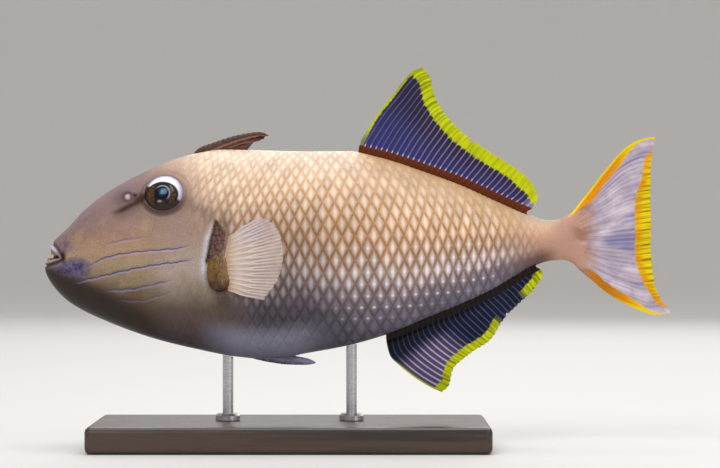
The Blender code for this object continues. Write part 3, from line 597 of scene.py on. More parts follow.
class Recipe:
    # short calls for making and wiring shader nodes
    def __init__(self, tree):
        self.tree = tree

    def feed(self, source, socket):
        # a signal is linked, a plain value set, and a plain colour made opaque
        if isinstance(source, Signal):
            self.tree.links.new(source.socket, socket)
        elif socket.type == "RGBA":
            socket.default_value = (*source, 1.0)
        else:
            socket.default_value = source

    def add(self, kind, inputs=(), output=0, **settings):
        made = self.tree.nodes.new("ShaderNode" + kind)
        for key, value in settings.items():
            setattr(made, key, value)
        for key, source in inputs.items() if isinstance(inputs, dict) else enumerate(inputs):
            self.feed(source, made.inputs[key])
        return Signal(self, made.outputs[output])

    def calc(self, operation, *values):
        return self.add("Math", values, operation=operation)

    def step(self, value, low, high, to=(0.0, 1.0)):
        # a smooth step from one value to another, as value goes from low to high
        inputs = {"Value": value, "From Min": low, "From Max": high, "To Min": to[0], "To Max": to[1]}
        return self.add("MapRange", inputs, interpolation_type="SMOOTHSTEP")

    def window(self, value, low, lowFull, highFull, high):
        # 1 between lowFull and highFull, and 0 outside low and high
        return self.step(value, low, lowFull) * self.step(value, high, highFull)

    def mix(self, share, first, second):
        return self.add("Mix", {0: share, 6: first, 7: second}, 2, data_type="RGBA")

    def layers(self, colour, *coats):
        # lays coats of (share, colour) over a colour, one after the other
        for share, coat in coats:
            colour = self.mix(share, colour, coat)
        return colour

    def scaled(self, colour, factor):
        return self.add("VectorMath", {0: colour, "Scale": factor}, operation="SCALE")

    def stretched(self, place, factors):
        return self.add("VectorMath", {0: place, 1: factors}, operation="MULTIPLY")

    def vector(self, *parts):
        return self.add("CombineXYZ", parts)

    def parts(self, place, *which):
        # the numbered parts of a place: 0 along the fish, 1 across it, 2 up
        outputs = self.add("SeparateXYZ", [place]).socket.node.outputs
        return [Signal(self, outputs[number]) for number in which]

    def field(self, name):
        return self.add("Attribute", output=2, attribute_name=name)

    def fields(self, *names):
        return [self.field(name) for name in names]

    def noise(self, place, scale, detail=2.0, roughness=0.5):
        inputs = {"Vector": place, "Scale": scale, "Detail": detail, "Roughness": roughness}
        return self.add("TexNoise", inputs)

    def cells(self, place, scale, **settings):
        return self.add("TexVoronoi", {"Vector": place, "Scale": scale}, **settings)

    def ramp(self, value, stops):
        colour = self.add("ValToRGB", [value])
        band = colour.socket.node.color_ramp
        while len(band.elements) < len(stops):
            band.elements.new(0.5)
        for element, (position, shade) in zip(band.elements, stops):
            element.position = position
            element.color = (*shade, 1.0)
        return colour

    def millimetres(self):
        return self.scaled(self.add("TexCoord", output=3), 1000.0)

    def use(self, group, inputs):
        made = self.tree.nodes.new("ShaderNodeGroup")
        made.node_tree = group
        for key, source in inputs.items():
            self.feed(source, made.inputs[key])
        return {socket.name: Signal(self, socket) for socket in made.outputs}


def newGroup(name, inputs, outputs):
    # a node group, with a Recipe for it and its input and output ends
    group = bpy.data.node_groups.new(name, "ShaderNodeTree")
    kinds = {"colour": "NodeSocketColor", "value": "NodeSocketFloat", "place": "NodeSocketVector"}
    for way, labels in (("INPUT", inputs), ("OUTPUT", outputs)):
        for label, kind in labels.items():
            group.interface.new_socket(label, in_out=way, socket_type=kinds[kind])
    recipe = Recipe(group)
    start = {socket.name: Signal(recipe, socket) for socket in group.nodes.new("NodeGroupInput").outputs}
    return group, recipe, start, group.nodes.new("NodeGroupOutput").inputs


def newLook(name):
    material = bpy.data.materials.new(name)
    material.use_nodes = True
    shader = material.node_tree.nodes["Principled BSDF"]
    return material, Recipe(material.node_tree), shader


def paint(r, shader, inputs, bump=None):
    # feeds the shader's inputs, and its bump where there is one: height, strength and distance
    for label, source in inputs.items():
        r.feed(source, shader.inputs[label])
    if bump:
        height, strength, distance = bump
        facing = r.add("Bump", {"Height": height, "Strength": strength, "Distance": distance})
        r.feed(facing, shader.inputs["Normal"])


def makeSpeckle():
    # soft uneven tone, as hand-laid paint has
    group, r, start, end = newGroup("speckle", {"Place": "place", "Colour": "colour", "Amount": "value"},
                                    {"Colour": "colour"})
    broad = r.noise(start["Place"], 0.22, 3.0, 0.6)
    fine = r.noise(start["Place"], 1.6, 3.0, 0.65)
    swing = (broad * 0.55 + fine * 0.45 - 0.5) * start["Amount"]
    r.feed(r.scaled(start["Colour"], 1.0 + swing), end["Colour"])
    return group


def speckled(r, place, colour, amount):
    return r.use(speckle, {"Place": place, "Colour": colour, "Amount": amount})["Colour"]


def makeScaleMarkings():
    # the net between the scales, their pale middles and the white dot on each
    group, r, start, end = newGroup("scaleMarkings", {"Lattice": "place"},
                                    {"Net": "value", "Middle": "value", "Dot": "value", "Shade": "value"})
    a, b = r.parts(start["Lattice"], 0, 1)
    halfB = b * 0.5
    ahead, behind = a + halfB + 0.5, a - halfB + 0.5
    p, q = r.calc("FRACT", ahead) - 0.5, r.calc("FRACT", behind) - 0.5  # place on the scale
    r.feed(r.step(r.calc("MAXIMUM", abs(p), abs(q)), 0.31, 0.465), end["Net"])
    whole = r.vector(r.calc("FLOOR", ahead), r.calc("FLOOR", behind), 0.5)
    r.feed(r.add("TexWhiteNoise", {"Vector": whole}), end["Shade"])
    across, tall = abs(p + q), abs(p - q)
    away = r.calc("SQRT", p * p + q * q) + across * 0.35
    r.feed(r.step(away, 0.52, 0.12), end["Middle"])
    dot = (across * 2.7) ** 2.0 + (tall * 6.5) ** 2.0
    r.feed(r.step(dot, 1.0, 0.15), end["Dot"])
    return group


skinTones = {
    # each ramp darkens from back to belly: partly the fish's own colour and partly painted shade of the light
    # from above
    "back": [(0.0, (0.78, 0.58, 0.45)), (0.16, (0.72, 0.50, 0.34)), (0.3, (0.63, 0.425, 0.285)),
             (0.42, (0.48, 0.305, 0.20)), (0.52, (0.42, 0.29, 0.225)), (0.62, (0.36, 0.285, 0.27)),
             (0.71, (0.19, 0.145, 0.155)), (0.82, (0.135, 0.112, 0.14)), (1.0, (0.11, 0.10, 0.14))],
    "net": [(0.0, (0.66, 0.44, 0.25)), (0.2, (0.52, 0.29, 0.105)), (0.38, (0.36, 0.165, 0.052)),
            (0.5, (0.285, 0.132, 0.055)), (0.6, (0.235, 0.138, 0.088)), (0.7, (0.125, 0.085, 0.08)),
            (0.82, (0.085, 0.068, 0.085)), (1.0, (0.08, 0.07, 0.095))],
    "middle": [(0.0, (0.92, 0.76, 0.66)), (0.3, (0.86, 0.66, 0.56)), (0.45, (0.74, 0.56, 0.48)),
               (0.55, (0.72, 0.62, 0.61)), (0.64, (0.60, 0.55, 0.61)), (0.73, (0.31, 0.28, 0.35)),
               (0.84, (0.21, 0.19, 0.25)), (1.0, (0.16, 0.155, 0.205))],
    "head": [(0.0, (0.26, 0.18, 0.19)), (0.1, (0.235, 0.155, 0.155)), (0.24, (0.27, 0.165, 0.145)),
             (0.34, (0.34, 0.205, 0.15)), (0.44, (0.40, 0.265, 0.17)), (0.52, (0.34, 0.245, 0.155)),
             (0.62, (0.215, 0.16, 0.10)), (0.72, (0.088, 0.052, 0.028)), (0.86, (0.042, 0.026, 0.018)),
             (1.0, (0.052, 0.045, 0.055))],
    "cover": [(0.0, (0.58, 0.39, 0.28)), (0.2, (0.30, 0.185, 0.145)), (0.4, (0.34, 0.235, 0.20)),
              (0.55, (0.42, 0.34, 0.29)), (0.66, (0.28, 0.22, 0.175)), (0.76, (0.10, 0.072, 0.058)),
              (1.0, (0.065, 0.058, 0.08))],
    "dot": (0.80, 0.78, 0.84),
    "lowDark": (0.055, 0.046, 0.066),
    "keelPale": (0.27, 0.262, 0.35),
    "finBase": (0.43, 0.24, 0.085),
    "stalk": [(0.0, (0.38, 0.31, 0.25)), (0.14, (0.63, 0.445, 0.335)), (0.32, (0.66, 0.39, 0.27)),
              (0.6, (0.44, 0.25, 0.18)), (0.8, (0.18, 0.085, 0.055)), (1.0, (0.09, 0.038, 0.026))],
    "stalkEnd": (0.50, 0.285, 0.21),
    "grooveDark": (0.060, 0.032, 0.13),
    "grooveLight": (0.27, 0.23, 0.44),
    # painted shade in dark red-brown, for the fold, nostrils, eye's rim and mouth corner
    "red": (0.060, 0.014, 0.007),
    "slit": (0.19, 0.11, 0.085),
    "slitDark": (0.055, 0.029, 0.025),
    # the pale mark: the gill cover's rim, and the front nostril's pale tip, partly its own colour and partly
    # painted highlight
    "pale": (0.60, 0.64, 0.74),
    "violetA": (0.032, 0.026, 0.115),
    "violetB": (0.135, 0.10, 0.17),
    "chin": (0.022, 0.012, 0.008),
    "lip": (0.47, 0.41, 0.51),
    "lipRear": (0.17, 0.09, 0.12),
    "lipLower": (0.35, 0.29, 0.32),
    # the crease, the corner pocket and the mouth's lining carry painted shade; the lining's own colour is
    # dark red
    "creaseShadeTone": (0.040, 0.020, 0.045),
    "cornerPocketShade": (0.018, 0.004, 0.004),
    "inside": (0.10, 0.028, 0.022),
    "olive": (0.36, 0.265, 0.13),
    "faint": (0.16, 0.09, 0.07),
    "wrinkle": (0.09, 0.065, 0.08),
}


def makeTrunkColour(r, along, place, toned, marks, head, pebbles):
    # the trunk and the tail stalk: base tones, pale scale middles and the net between them
    net = r.ramp(toned, skinTones["net"])
    plain = r.calc("MAXIMUM", head * 0.85, r.field("keelPale") * 0.7)
    stalk = r.step(along, 88.0, 114.0)
    onBody = 1.0 - plain - stalk * 0.35
    uneven = r.step(r.noise(place, 0.5, 1.0), 0.25, 0.6, (0.55, 1.0))
    nape = r.calc("MAXIMUM", r.step(along, -36.0, 6.0, (0.5, 1.0)), r.step(toned, 0.3, 0.5))
    upper = nape * r.step(toned, 0.03, 0.32, (0.3, 1.0))
    onStalk = upper * r.step(along, 112.0, 84.0, (0.25, 1.0))
    netShare = marks["Net"] * onBody * (uneven * onStalk)
    middleShare = marks["Middle"] * onBody * (1.0 - r.step(toned, 0.66, 0.84) * 0.55)
    trunk = r.layers(r.ramp(toned, skinTones["back"]),
                     (middleShare * 0.85, r.ramp(toned, skinTones["middle"])), (netShare * 0.9, net))
    trunk = r.scaled(trunk, r.step(marks["Shade"], 0.0, 1.0, (0.88, 1.1)))
    rearGain = r.step(along, 0.0, 56.0, (0.8, 1.2)) - 1.0
    rearGain = rearGain * (r.step(toned, 0.2, 0.36) * r.step(along, 98.0, 74.0))
    lowGain = r.step(along, 8.0, 38.0, (0.0, 0.3)) * r.step(toned, 0.54, 0.66)
    trunk = r.scaled(trunk, 1.0 + rearGain + lowGain)
    fineNet = pebbles * r.step(along, 122.0, 106.0)
    stalkNet = marks["Net"] * 0.42 * r.step(along, 118.0, 104.0)
    stalked = r.layers(r.ramp(toned, skinTones["stalk"]),
                       (r.calc("MAXIMUM", fineNet * 0.16, stalkNet), net),
                       (r.step(along, 111.0, 121.5) * 0.97, skinTones["stalkEnd"]))
    frontal = r.step(along, 26.0, 8.0) * r.step(toned, 0.69, 0.80)
    return r.layers(trunk, (stalk, stalked), (r.field("finBase") * 0.75, skinTones["finBase"]),
                    (frontal * 0.7, skinTones["lowDark"]))


def makeCheekColour(r, along, place, toned):
    # the head's plain tones, with olive blotches, darker towards the gill cover
    blotch = r.step(r.noise(place, 0.16, 3.0, 0.6), 0.45, 0.62, (0.0, 0.45))
    blotch = blotch * r.window(toned, 0.12, 0.25, 0.6, 0.68)
    rearward = r.step(along, -68.0, -50.0) * 0.9
    return r.layers(r.ramp(toned, skinTones["head"]), (blotch, skinTones["olive"]),
                    (rearward, r.ramp(toned, skinTones["cover"])))


def layFaceMarks(r, along, place, colour):
    # snout wrinkles, violet patch, chin, cheek grooves, shades, the dark red painted shade in the hollows and
    # the gill slit
    creased = r.stretched(place, (1.3, 1.0, 0.8))
    wrinkles = r.noise(creased, 0.9, 3.0, 0.6)
    snout = r.step(along, -70.0, -92.0) * r.step(wrinkles, 0.52, 0.62)
    mottle = r.step(r.noise(creased, 0.42, 4.0, 0.6), 0.38, 0.62)
    ragged = r.step(r.field("violet") + (wrinkles - 0.5) * 0.9, 0.05, 0.65) * r.field("violet")
    offset = r.field("groove")
    inked = r.field("grooveFade") * r.step(r.field("grooveAway"), 1.75, 1.45)
    light = r.window(offset, -1.3, -0.9, -0.6, -0.3) * inked
    dark = r.window(offset, -0.5, -0.15, 0.1, 0.5) * inked
    colour = r.layers(colour, (snout * 0.2, skinTones["wrinkle"]),
                      (ragged * 0.92, r.mix(mottle, skinTones["violetA"], skinTones["violetB"])),
                      (r.field("chin"), skinTones["chin"]), (light * 0.5, skinTones["grooveLight"]),
                      (dark * 0.85, skinTones["grooveDark"]))
    shaded = r.scaled(colour, r.step(r.field("shade"), 0.0, 1.0, (1.0, 0.3)))
    ticks = r.step(r.noise(r.stretched(place, (0.4, 1.0, 2.0)), 1.2), 0.3, 0.6)
    slitMottle = r.step(r.noise(place, 0.8, 4.0, 0.7), 0.4, 0.62)
    # the pale mark, which on the front nostril is partly painted highlight
    return r.layers(shaded, (r.field("pale") * (0.35 + ticks * 0.65), skinTones["pale"]),
                    (r.field("red"), skinTones["red"]),
                    (r.field("slit"), r.mix(slitMottle, skinTones["slitDark"], skinTones["slit"])))


def layLips(r, along, height, place, lip, colour):
    # the lips, the painted shade in the crease round them, the pocket of painted shade at the corner and the
    # mouth's dark red lining, darkened as painted shade
    wet = r.noise(place, 1.3, 3.0, 0.6)
    lipTone = r.mix(r.step(height + wet, 86.6, 84.6), skinTones["lip"], skinTones["lipLower"])
    lipTone = r.layers(lipTone, (r.step(along + wet, -105.4, -101.6) * 0.85, skinTones["lipRear"]),
                       (r.step(wet, 0.5, 0.68, (0.0, 0.45)), skinTones["lipRear"]))
    fromEdge = lip + r.step(height, 84.2, 82.4) * 0.7
    lipBand = r.step(lip, -0.9, -0.3) * r.step(fromEdge, 2.2, 1.6)
    # painted shade in the crease behind the lips
    creaseShade = r.window(fromEdge, 1.5, 2.1, 2.7, 4.4)
    # painted shade: the pocket at the mouth's corner, nearly black
    cornerPocketShade = r.field("red") * r.step(fromEdge, 5.6, 4.4) * r.step(fromEdge, 1.4, 1.9)
    # the lining inside the mouth is dark red, darkened further as painted shade
    return r.layers(colour, (lipBand, lipTone),
                    (creaseShade * r.step(height, 89.0, 85.5, (0.55, 0.9)), skinTones["creaseShadeTone"]),
                    (cornerPocketShade, skinTones["cornerPocketShade"]), (r.step(lip, -0.4, -1.0), skinTones["inside"]))


def makeSkinColour(markings):
    # the whole colour scheme of skin and scales
    group, r, start, end = newGroup("skinColour", {"Lattice": "place", "Lip": "value"},
                                    {"Colour": "colour", "Roughness": "value", "Grain": "value"})
    place = r.millimetres()
    along, height = r.parts(place, 0, 2)
    head, keelPale = r.fields("head", "keelPale")
    toned = r.field("tone") + (r.noise(place, 0.12, 2.0) - 0.5) * 0.10
    marks = r.use(markings, {"Lattice": start["Lattice"]})
    pebbles = r.step(r.cells(place, 0.9, feature="DISTANCE_TO_EDGE"), 0.2, 0.02)
    trunk = makeTrunkColour(r, along, place, toned, marks, head, pebbles)
    colour = r.mix(head, trunk, makeCheekColour(r, along, place, toned))
    lowRear = r.step(along, -64.0, -40.0) * r.step(toned, 0.5, 0.68)
    faint = marks["Net"] * head * r.step(lowRear, 0.0, 1.0, (0.03, 0.4))
    faint = r.calc("MAXIMUM", faint, pebbles * (head * 0.24))
    dotBand = r.window(toned, 0.40, 0.52, 0.80, 0.93)
    dots = marks["Dot"] * dotBand * r.window(along, 12.0, 40.0, 84.0, 98.0)
    colour = r.layers(colour, (faint, skinTones["faint"]), (dots * 0.78, skinTones["dot"]),
                      (keelPale, skinTones["keelPale"]))
    colour = layFaceMarks(r, along, place, colour)
    colour = speckled(r, place, colour, 0.55)
    r.feed(layLips(r, along, height, place, start["Lip"], colour), end["Colour"])
    fine = r.noise(place, 2.2, 3.0, 0.6)
    r.feed(r.step(fine, 0.2, 0.8, (0.34, 0.5)), end["Roughness"])
    r.feed(r.cells(place, 1.5) * 0.6 + fine * 0.4, end["Grain"])
    return group


speckle = makeSpeckle()
skinColour = makeSkinColour(makeScaleMarkings())


def makeSkinLook(name, withLip):
    look, r, shader = newLook(name)
    lip = r.field("lip") if withLip else 9.0
    out = r.use(skinColour, {"Lattice": r.add("UVMap", uv_map="scaleLattice"), "Lip": lip})
    paint(r, shader, {"Base Color": out["Colour"], "Roughness": out["Roughness"], "Specular IOR Level": 0.22,
                      "Coat Weight": 0.05, "Coat Roughness": 0.25}, (out["Grain"], 0.35, 0.00025))
    return look


skinLook = makeSkinLook("skinPaint", True)
scaleLook = makeSkinLook("scalePaint", False)

# Skin: one surface from the mouth's lining over the lips and along the whole body
mouth = {
    "upperFront": (2.9, 0.8), "lowerFront": (1.0, -5.2), "corner": (7.6, -3.6),
    "cornerShare": 0.42, "halfWidth": 5.6, "lining": (4.4, -2.6), "startOfBody": 10.5,
    "lipBulge": 0.72, "creaseDepth": 0.75,
}


def lipTurn(share):
    # which shares of the half girth are the upper lip's, and the angle from front to corner
    corner = mouth["cornerShare"]
    upper = share <= corner
    return upper, np.where(upper, share / corner, (1 - share) / (1 - corner)) * math.pi / 2


def lipLine(share):
    # the mouth's edge by share of the half girth, from the upper lip's front to the lower's
    upper, turn = lipTurn(share)
    forward = np.maximum(np.cos(turn), 0) ** 0.85
    frontX = np.where(upper, mouth["upperFront"][0], mouth["lowerFront"][0])
    frontZ = np.where(upper, mouth["upperFront"][1], mouth["lowerFront"][1])
    x = mouth["corner"][0] + (frontX - mouth["corner"][0]) * forward
    z = mouth["corner"][1] + (frontZ - mouth["corner"][1]) * forward ** np.where(upper, 0.8, 1.0)
    return np.stack([x, mouth["halfWidth"] * np.sin(turn), z], axis=-1)


def snoutRings(shares, count):
    # rings from the lips to the first section of the body, one smooth curve for each share
    lips = lipLine(shares)
    start = mouth["startOfBody"]
    end = bodyPoint(start, shares)
    endWay = (bodyPoint(start + 0.6, shares) - bodyPoint(start - 0.6, shares)) / 1.2
    upper, turn = lipTurn(shares)
    frontWay = np.where(upper[:, None], [-2.5, 0.0, 7.0], [-10.0, 0.0, -14.0])
    sideWay = np.array([1.0, 4.0, 0.0])
    startWay = frontWay * np.cos(turn)[:, None] ** 2 + sideWay * np.sin(turn)[:, None] ** 2
    reachOut = np.interp(shares, [0, mouth["cornerShare"], 1], [7.0, 3.0, 14.0])[:, None]
    t = (np.linspace(0, 1, count, endpoint=False) ** 1.4)[:, None, None]
    startShare, startPull = 2 * t**3 - 3 * t**2 + 1, t**3 - 2 * t**2 + t
    endShare, endPull = -2 * t**3 + 3 * t**2, t**3 - t**2
    return startShare * lips + startPull * startWay + endShare * end + endPull * endWay * reachOut


def makeSkin():
    lipRings = 60  # the first rings, which carry the lips, the crease and the chin's wrinkles
    half = body["pointsAround"] // 2
    shares = np.linspace(0, 1, half + 1)
    stations = np.concatenate([np.arange(mouth["startOfBody"], body["fineTo"], body["ringSpacing"]),
                               np.linspace(body["fineTo"], body["end"], body["trunkRings"])])
    trunk = bodyPoint(stations[:, None], shares[None])
    outer = np.concatenate([snoutRings(shares, body["snoutRings"]), trunk])
    span = np.linalg.norm(np.diff(outer[:lipRings], axis=0), axis=2)
    fromLip = np.concatenate([np.zeros((1, half + 1)), np.cumsum(span, axis=0)])
    normal = np.cross(np.gradient(outer, axis=0), np.gradient(outer, axis=1))
    normal[:, 0], normal[:, -1] = normal[:, 0] * [1, 0, 1], normal[:, -1] * [1, 0, 1]
    normal /= np.maximum(np.linalg.norm(normal, axis=2, keepdims=True), 1e-9)
    rise = reliefAt(outer)
    # the stalk's end dips under the tail fin
    rise = rise - 0.2 * soft(outer[..., 0], body["end"] - 5.0, body["end"])
    lower = soft(shares, 0.45, 0.75)
    full = (1 - 0.35 * lower) * (1 - 0.45 * hump(shares, mouth["cornerShare"], 0.09))
    full = full * (1 + 0.08 * np.sin(19 * shares) + 0.05 * np.sin(47 * shares))
    rise[:lipRings] += mouth["lipBulge"] * full * hump(fromLip, 0.8, 0.8)
    rise[:lipRings] -= mouth["creaseDepth"] * hump(fromLip, 2.5 - 0.7 * lower, 0.65)
    wrinkles = hump(fromLip, 7.0, 4.0) * between(shares, 0.40, 0.55, 0.8, 0.97)
    rise[:lipRings] += 0.08 * wrinkles * np.sin(fromLip * 2.4 + 4 * np.sin(shares * 9.0))
    outer = outer + normal * rise[..., None]
    lip = np.full(outer.shape[:2], 9.0)
    lip[:lipRings] = fromLip
    # the mouth's lining, from the innermost ring out to the lips
    inward = np.linspace(0, 0.96, 13)[:0:-1, None, None]
    lining = np.array([mouth["lining"][0], 0.0, mouth["lining"][1]])
    inner = outer[0] + (lining - outer[0]) * inward
    inner[..., 0] += 0.8 * np.sin(math.pi * inward[..., 0])
    rings = np.concatenate([inner, outer])
    lip = np.concatenate([-5.0 * inward[..., 0] * np.ones((1, half + 1)), lip])
    allRings = np.concatenate([rings, rings[:, -2:0:-1] * [1, -1, 1]], axis=1)
    count, aroundCount = allRings.shape[:2]
    points = allRings.reshape(-1, 3)
    faces = loftFaces(count, aroundCount)
    share = np.tile(np.concatenate([shares, shares[-2:0:-1]]), count)
    fields = skinFields(points)
    fields["lip"] = np.concatenate([lip, lip[:, -2:0:-1]], axis=1)
    lengthwise = np.repeat(np.arange(count), aroundCount)
    # the unwrap puts the right flank above the left one
    rightFace = (faces % aroundCount <= half).all(axis=1)
    span = np.linalg.norm(np.diff(rings[:, half // 2], axis=0), axis=1)
    steps = np.concatenate([np.zeros(1), np.cumsum(span)])
    u = 0.01 + 0.98 * (steps / steps[-1])[lengthwise]
    v = share * 0.47
    strip = np.where(rightFace[:, None], 0.51, 0.01)
    corners = np.stack([u[faces], strip + v[faces]], axis=-1)
    turned = facedOut(points, faces)
    if turned is not faces:
        corners = corners[:, ::-1]
    maps = {"OFBake": corners, "scaleLattice": latticeOf(np.maximum(points[:, 0], body["start"]), share)}
    makePiece("skin", points, turned, skinLook, ("head", "trunk", "tail_stalk"), maps, fields)


makeSkin()
print("skin made")


def scaleHeight(points, share, x, fields):
    # how high the scales stand: low on the head and the front belly, none at eye, mouth and gills
    z = rightFlank(points)[..., 2]
    fromMidline = np.minimum(share, 1 - share) * halfGirth(x)
    height = lattice["height"] * (0.12 + 0.88 * soft(headLean(x, z), *lattice["fullHeightFrom"]))
    height = height * (1 - 0.8 * soft(x, 196.0, 216.0))
    height = height * (0.3 + 0.7 * soft(fromMidline, 2.0, 13.0))
    height = height * (0.5 + 0.5 * soft(fields["tone"], 0.06, 0.3))
    smoothBelly = soft(fields["tone"], 0.80, 0.95) * (1 - soft(x, 120.0, 165.0))
    height = height * (1 - 0.6 * smoothBelly)
    keep = soft(fields["eyeReach"], 10.6, 12.2) * soft(x, 15.0, 21.0) * (1 - 0.6 * soft(x, 214.0, 224.0))
    keep = keep * (1 - np.clip(2.2 * grooves(x, z, -0.4, 1.3), 0, 1))
    start, end = face["fold"][0][0], face["fold"][-1][0]
    nearFold = hump(z - foldLine(x), 0.0, 1.6) * between(x, start, start + 4, end, end + 2)
    keep = keep * (1 - np.clip(1.3 * nearFold, 0, 1))
    for near in nostrilReach(x, z):
        keep = keep * soft(near, 2.2, 3.6)
    nearGill = between(gillShare(x, z), -0.55, -0.25, 1.0, 1.3) * between(z, -9.0, -7.0, 14.0, 16.0)
    keep = keep * (1 - nearGill) * (1 - spot(x, z, (79.4, -9.8), (6.5, 9.5), 0.9) * (x > 70))
    dorsal, anal = ((x > start) & (x < end) for start, end in (lattice["underDorsal"], lattice["overAnal"]))
    finned = np.where(share < 0.5, dorsal, anal)
    keep = keep * np.where(finned, soft(fromMidline, 1.6, 2.8), soft(fromMidline, 0.0, 0.9))
    return height, np.clip(keep, 0, 1)


def makeScales(side, word):
    n = lattice["quads"]
    line = np.linspace(-1, 1, n + 1)
    p, q = np.meshgrid(line, line, indexing="ij")
    dome = (1 - np.abs(p) ** 5) * (1 - np.abs(q) ** 5)
    slopeUp = 0.12 * (p + q) / 2  # each scale's rear tip stands a little higher
    rows = np.arange(-14, 15)
    first, last = np.interp([2.0, body["end"] - 1.0], columnAt, columnCount)
    columns = range(int(first) - 4, int(last) + 6)
    centres = np.array([(column + 0.5 * (row % 2), row) for row in rows for column in columns])
    x, share = placeOf(centres[:, 0], centres[:, 1])
    good = (x > 12.0) & (x < lattice["lastScale"]) & (share > 0.0) & (share < 1.0)
    centres, x, share = centres[good], x[good], share[good]
    bodyPart = headLean(x, bodyPoint(x, share)[:, 2]) > lattice["bodyFrom"]
    shell = ringFaces(n + 1, n + 1, closed=False)
    perShell = (n + 1) ** 2
    index = np.arange(perShell).reshape(n + 1, n + 1)
    rim = np.concatenate([index[0, :-1], index[:-1, -1], index[-1, :0:-1], index[:0:-1, 0]])
    around = len(rim)
    root = perShell + np.arange(around)
    ahead = np.roll(np.arange(around), -1)
    skirt = np.stack([rim, root, root[ahead], rim[ahead]], axis=-1)
    under = root[capFaces(0, around)][:, ::-1]
    cell = np.concatenate([shell, skirt, under])
    for label, chosen in (("Head", ~bodyPart), ("Body", bodyPart)):
        own = centres[chosen]
        a = own[:, 0, None, None] + 0.25 * (p + q)
        b = own[:, 1, None, None] + 0.5 * (p - q)
        x, share = placeOf(a, b)
        x = np.clip(x, 9.0, body["end"] - 0.05)
        points, normal = skinPoint(x, share)
        plainPoints = bodyPoint(x, share)
        clear = skinFields(plainPoints)
        height, keep = scaleHeight(plainPoints, np.clip(share, 0, 1), x, clear)
        keep = np.where((share < 0) | (share > 1), 0.0, keep)
        shape = dome * (1 + slopeUp)
        sink = lattice["rimSink"] * height + 0.04
        lift = keep * ((height + sink) * shape - sink) - 0.8 * (1 - keep)
        points = points + normal * lift[..., None]
        worth = (lift > 0).mean(axis=(1, 2)) > lattice["smallest"]
        worth = worth & (clear["eyeReach"].min(axis=(1, 2)) > 9.0) & (clear["slit"].max(axis=(1, 2)) < 0.3)
        total = int(worth.sum())

        def withRoots(values):
            # the plates' own points, then the rim's again for the skirt
            flat = values[worth].reshape(total, perShell, -1)
            return np.concatenate([flat, flat[:, rim]], axis=1)

        roots = withRoots(normal) * -lattice["skirt"]
        roots[:, :perShell] = 0
        points = (withRoots(points) + roots).reshape(-1, 3) * [1, side, 1]
        x, share = withRoots(x).ravel(), withRoots(share).ravel()
        fields = skinFields(withRoots(plainPoints).reshape(-1, 3))
        perPlate = perShell + around
        faces = (np.arange(total)[:, None, None] * perPlate + cell[None]).reshape(-1, 4)
        u = 0.005 + 0.99 * (x - 8.0) / 226.0
        v = 0.01 + 0.98 * np.clip(share, -0.01, 1.01)
        maps = {"OFBake": np.stack([u, v], axis=-1),
                "scaleLattice": np.stack([withRoots(a).ravel(), withRoots(b).ravel()], axis=-1)}
        faces = facedOut(points, faces)
        makePiece("scales" + label + word, points, faces, scaleLook, (), maps, fields)
        print("scales", label, word, total, "plates,", 2 * len(faces), "triangles")


for side, word in flanks:
    makeScales(side, word)

# Eyes: a glossy ball in each socket, painted by distance from its middle


def makeEyeLook():
    look, r, shader = newLook("eyeGlass")
    across, up = r.parts(r.add("UVMap", uv_map="eyePlace"), 0, 1)
    wide = eyes["mapWidth"]
    x, y = across * wide - wide / 2, up * wide - wide / 2

    def away(centre, size):
        dx, dy = (x - centre[0]) / size[0], (y - centre[1]) / size[1]
        return r.calc("SQRT", dx * dx + dy * dy)

    iris = away(eyes["irisCentre"], eyes["irisSize"])
    fromPupil = away(eyes["pupilCentre"], (1.0, 1.0))
    spread = r.calc("MAXIMUM", fromPupil, 0.5)
    streaks = r.noise(r.vector(x / spread, y / spread, fromPupil * 0.22), 5.5, 4.0, 0.65)
    white = r.mix(r.step(away((0.0, 0.0), (8.4, 8.4)), 0.78, 1.0), eyes["white"], eyes["whiteEdge"])
    colour = r.mix(r.step(y + x * 0.435, -0.9, 0.5), eyes["lid"], white)
    goldShare = r.step(abs(x + 0.2), 2.6, 4.2) * r.step(iris, 0.93, 0.78) * r.step(streaks, 0.3, 0.7)
    pupil = away(eyes["pupilCentre"], (eyes["pupilRadius"],) * 2)
    ringShare = r.window(pupil, 0.86, 0.98, 1.06, 1.2) * r.step(x + y, -2.2, 1.2)
    # the pupil's blue middle is a painted highlight, the lens's reflection
    colour = r.layers(colour, (r.step(iris, 1.03, 0.93), r.mix(goldShare, eyes["brown"], eyes["gold"])),
                      (ringShare, eyes["ring"]), (r.step(pupil, 1.0, 0.92), eyes["pupil"]),
                      (r.step(away((0.1, -0.6), (2.2, 2.3)), 1.0, 0.1), eyes["pupilHighlight"]),
                      (r.step(away((-0.9, -4.6), (1.5, 0.7)), 1.0, 0.3) * 0.8, eyes["glint"]))
    paint(r, shader, {"Base Color": colour, "Roughness": r.step(streaks, 0.2, 0.8, (0.10, 0.2)),
                      "Specular IOR Level": 0.05, "Coat Weight": 0.5, "Coat Roughness": 0.03})
    return look


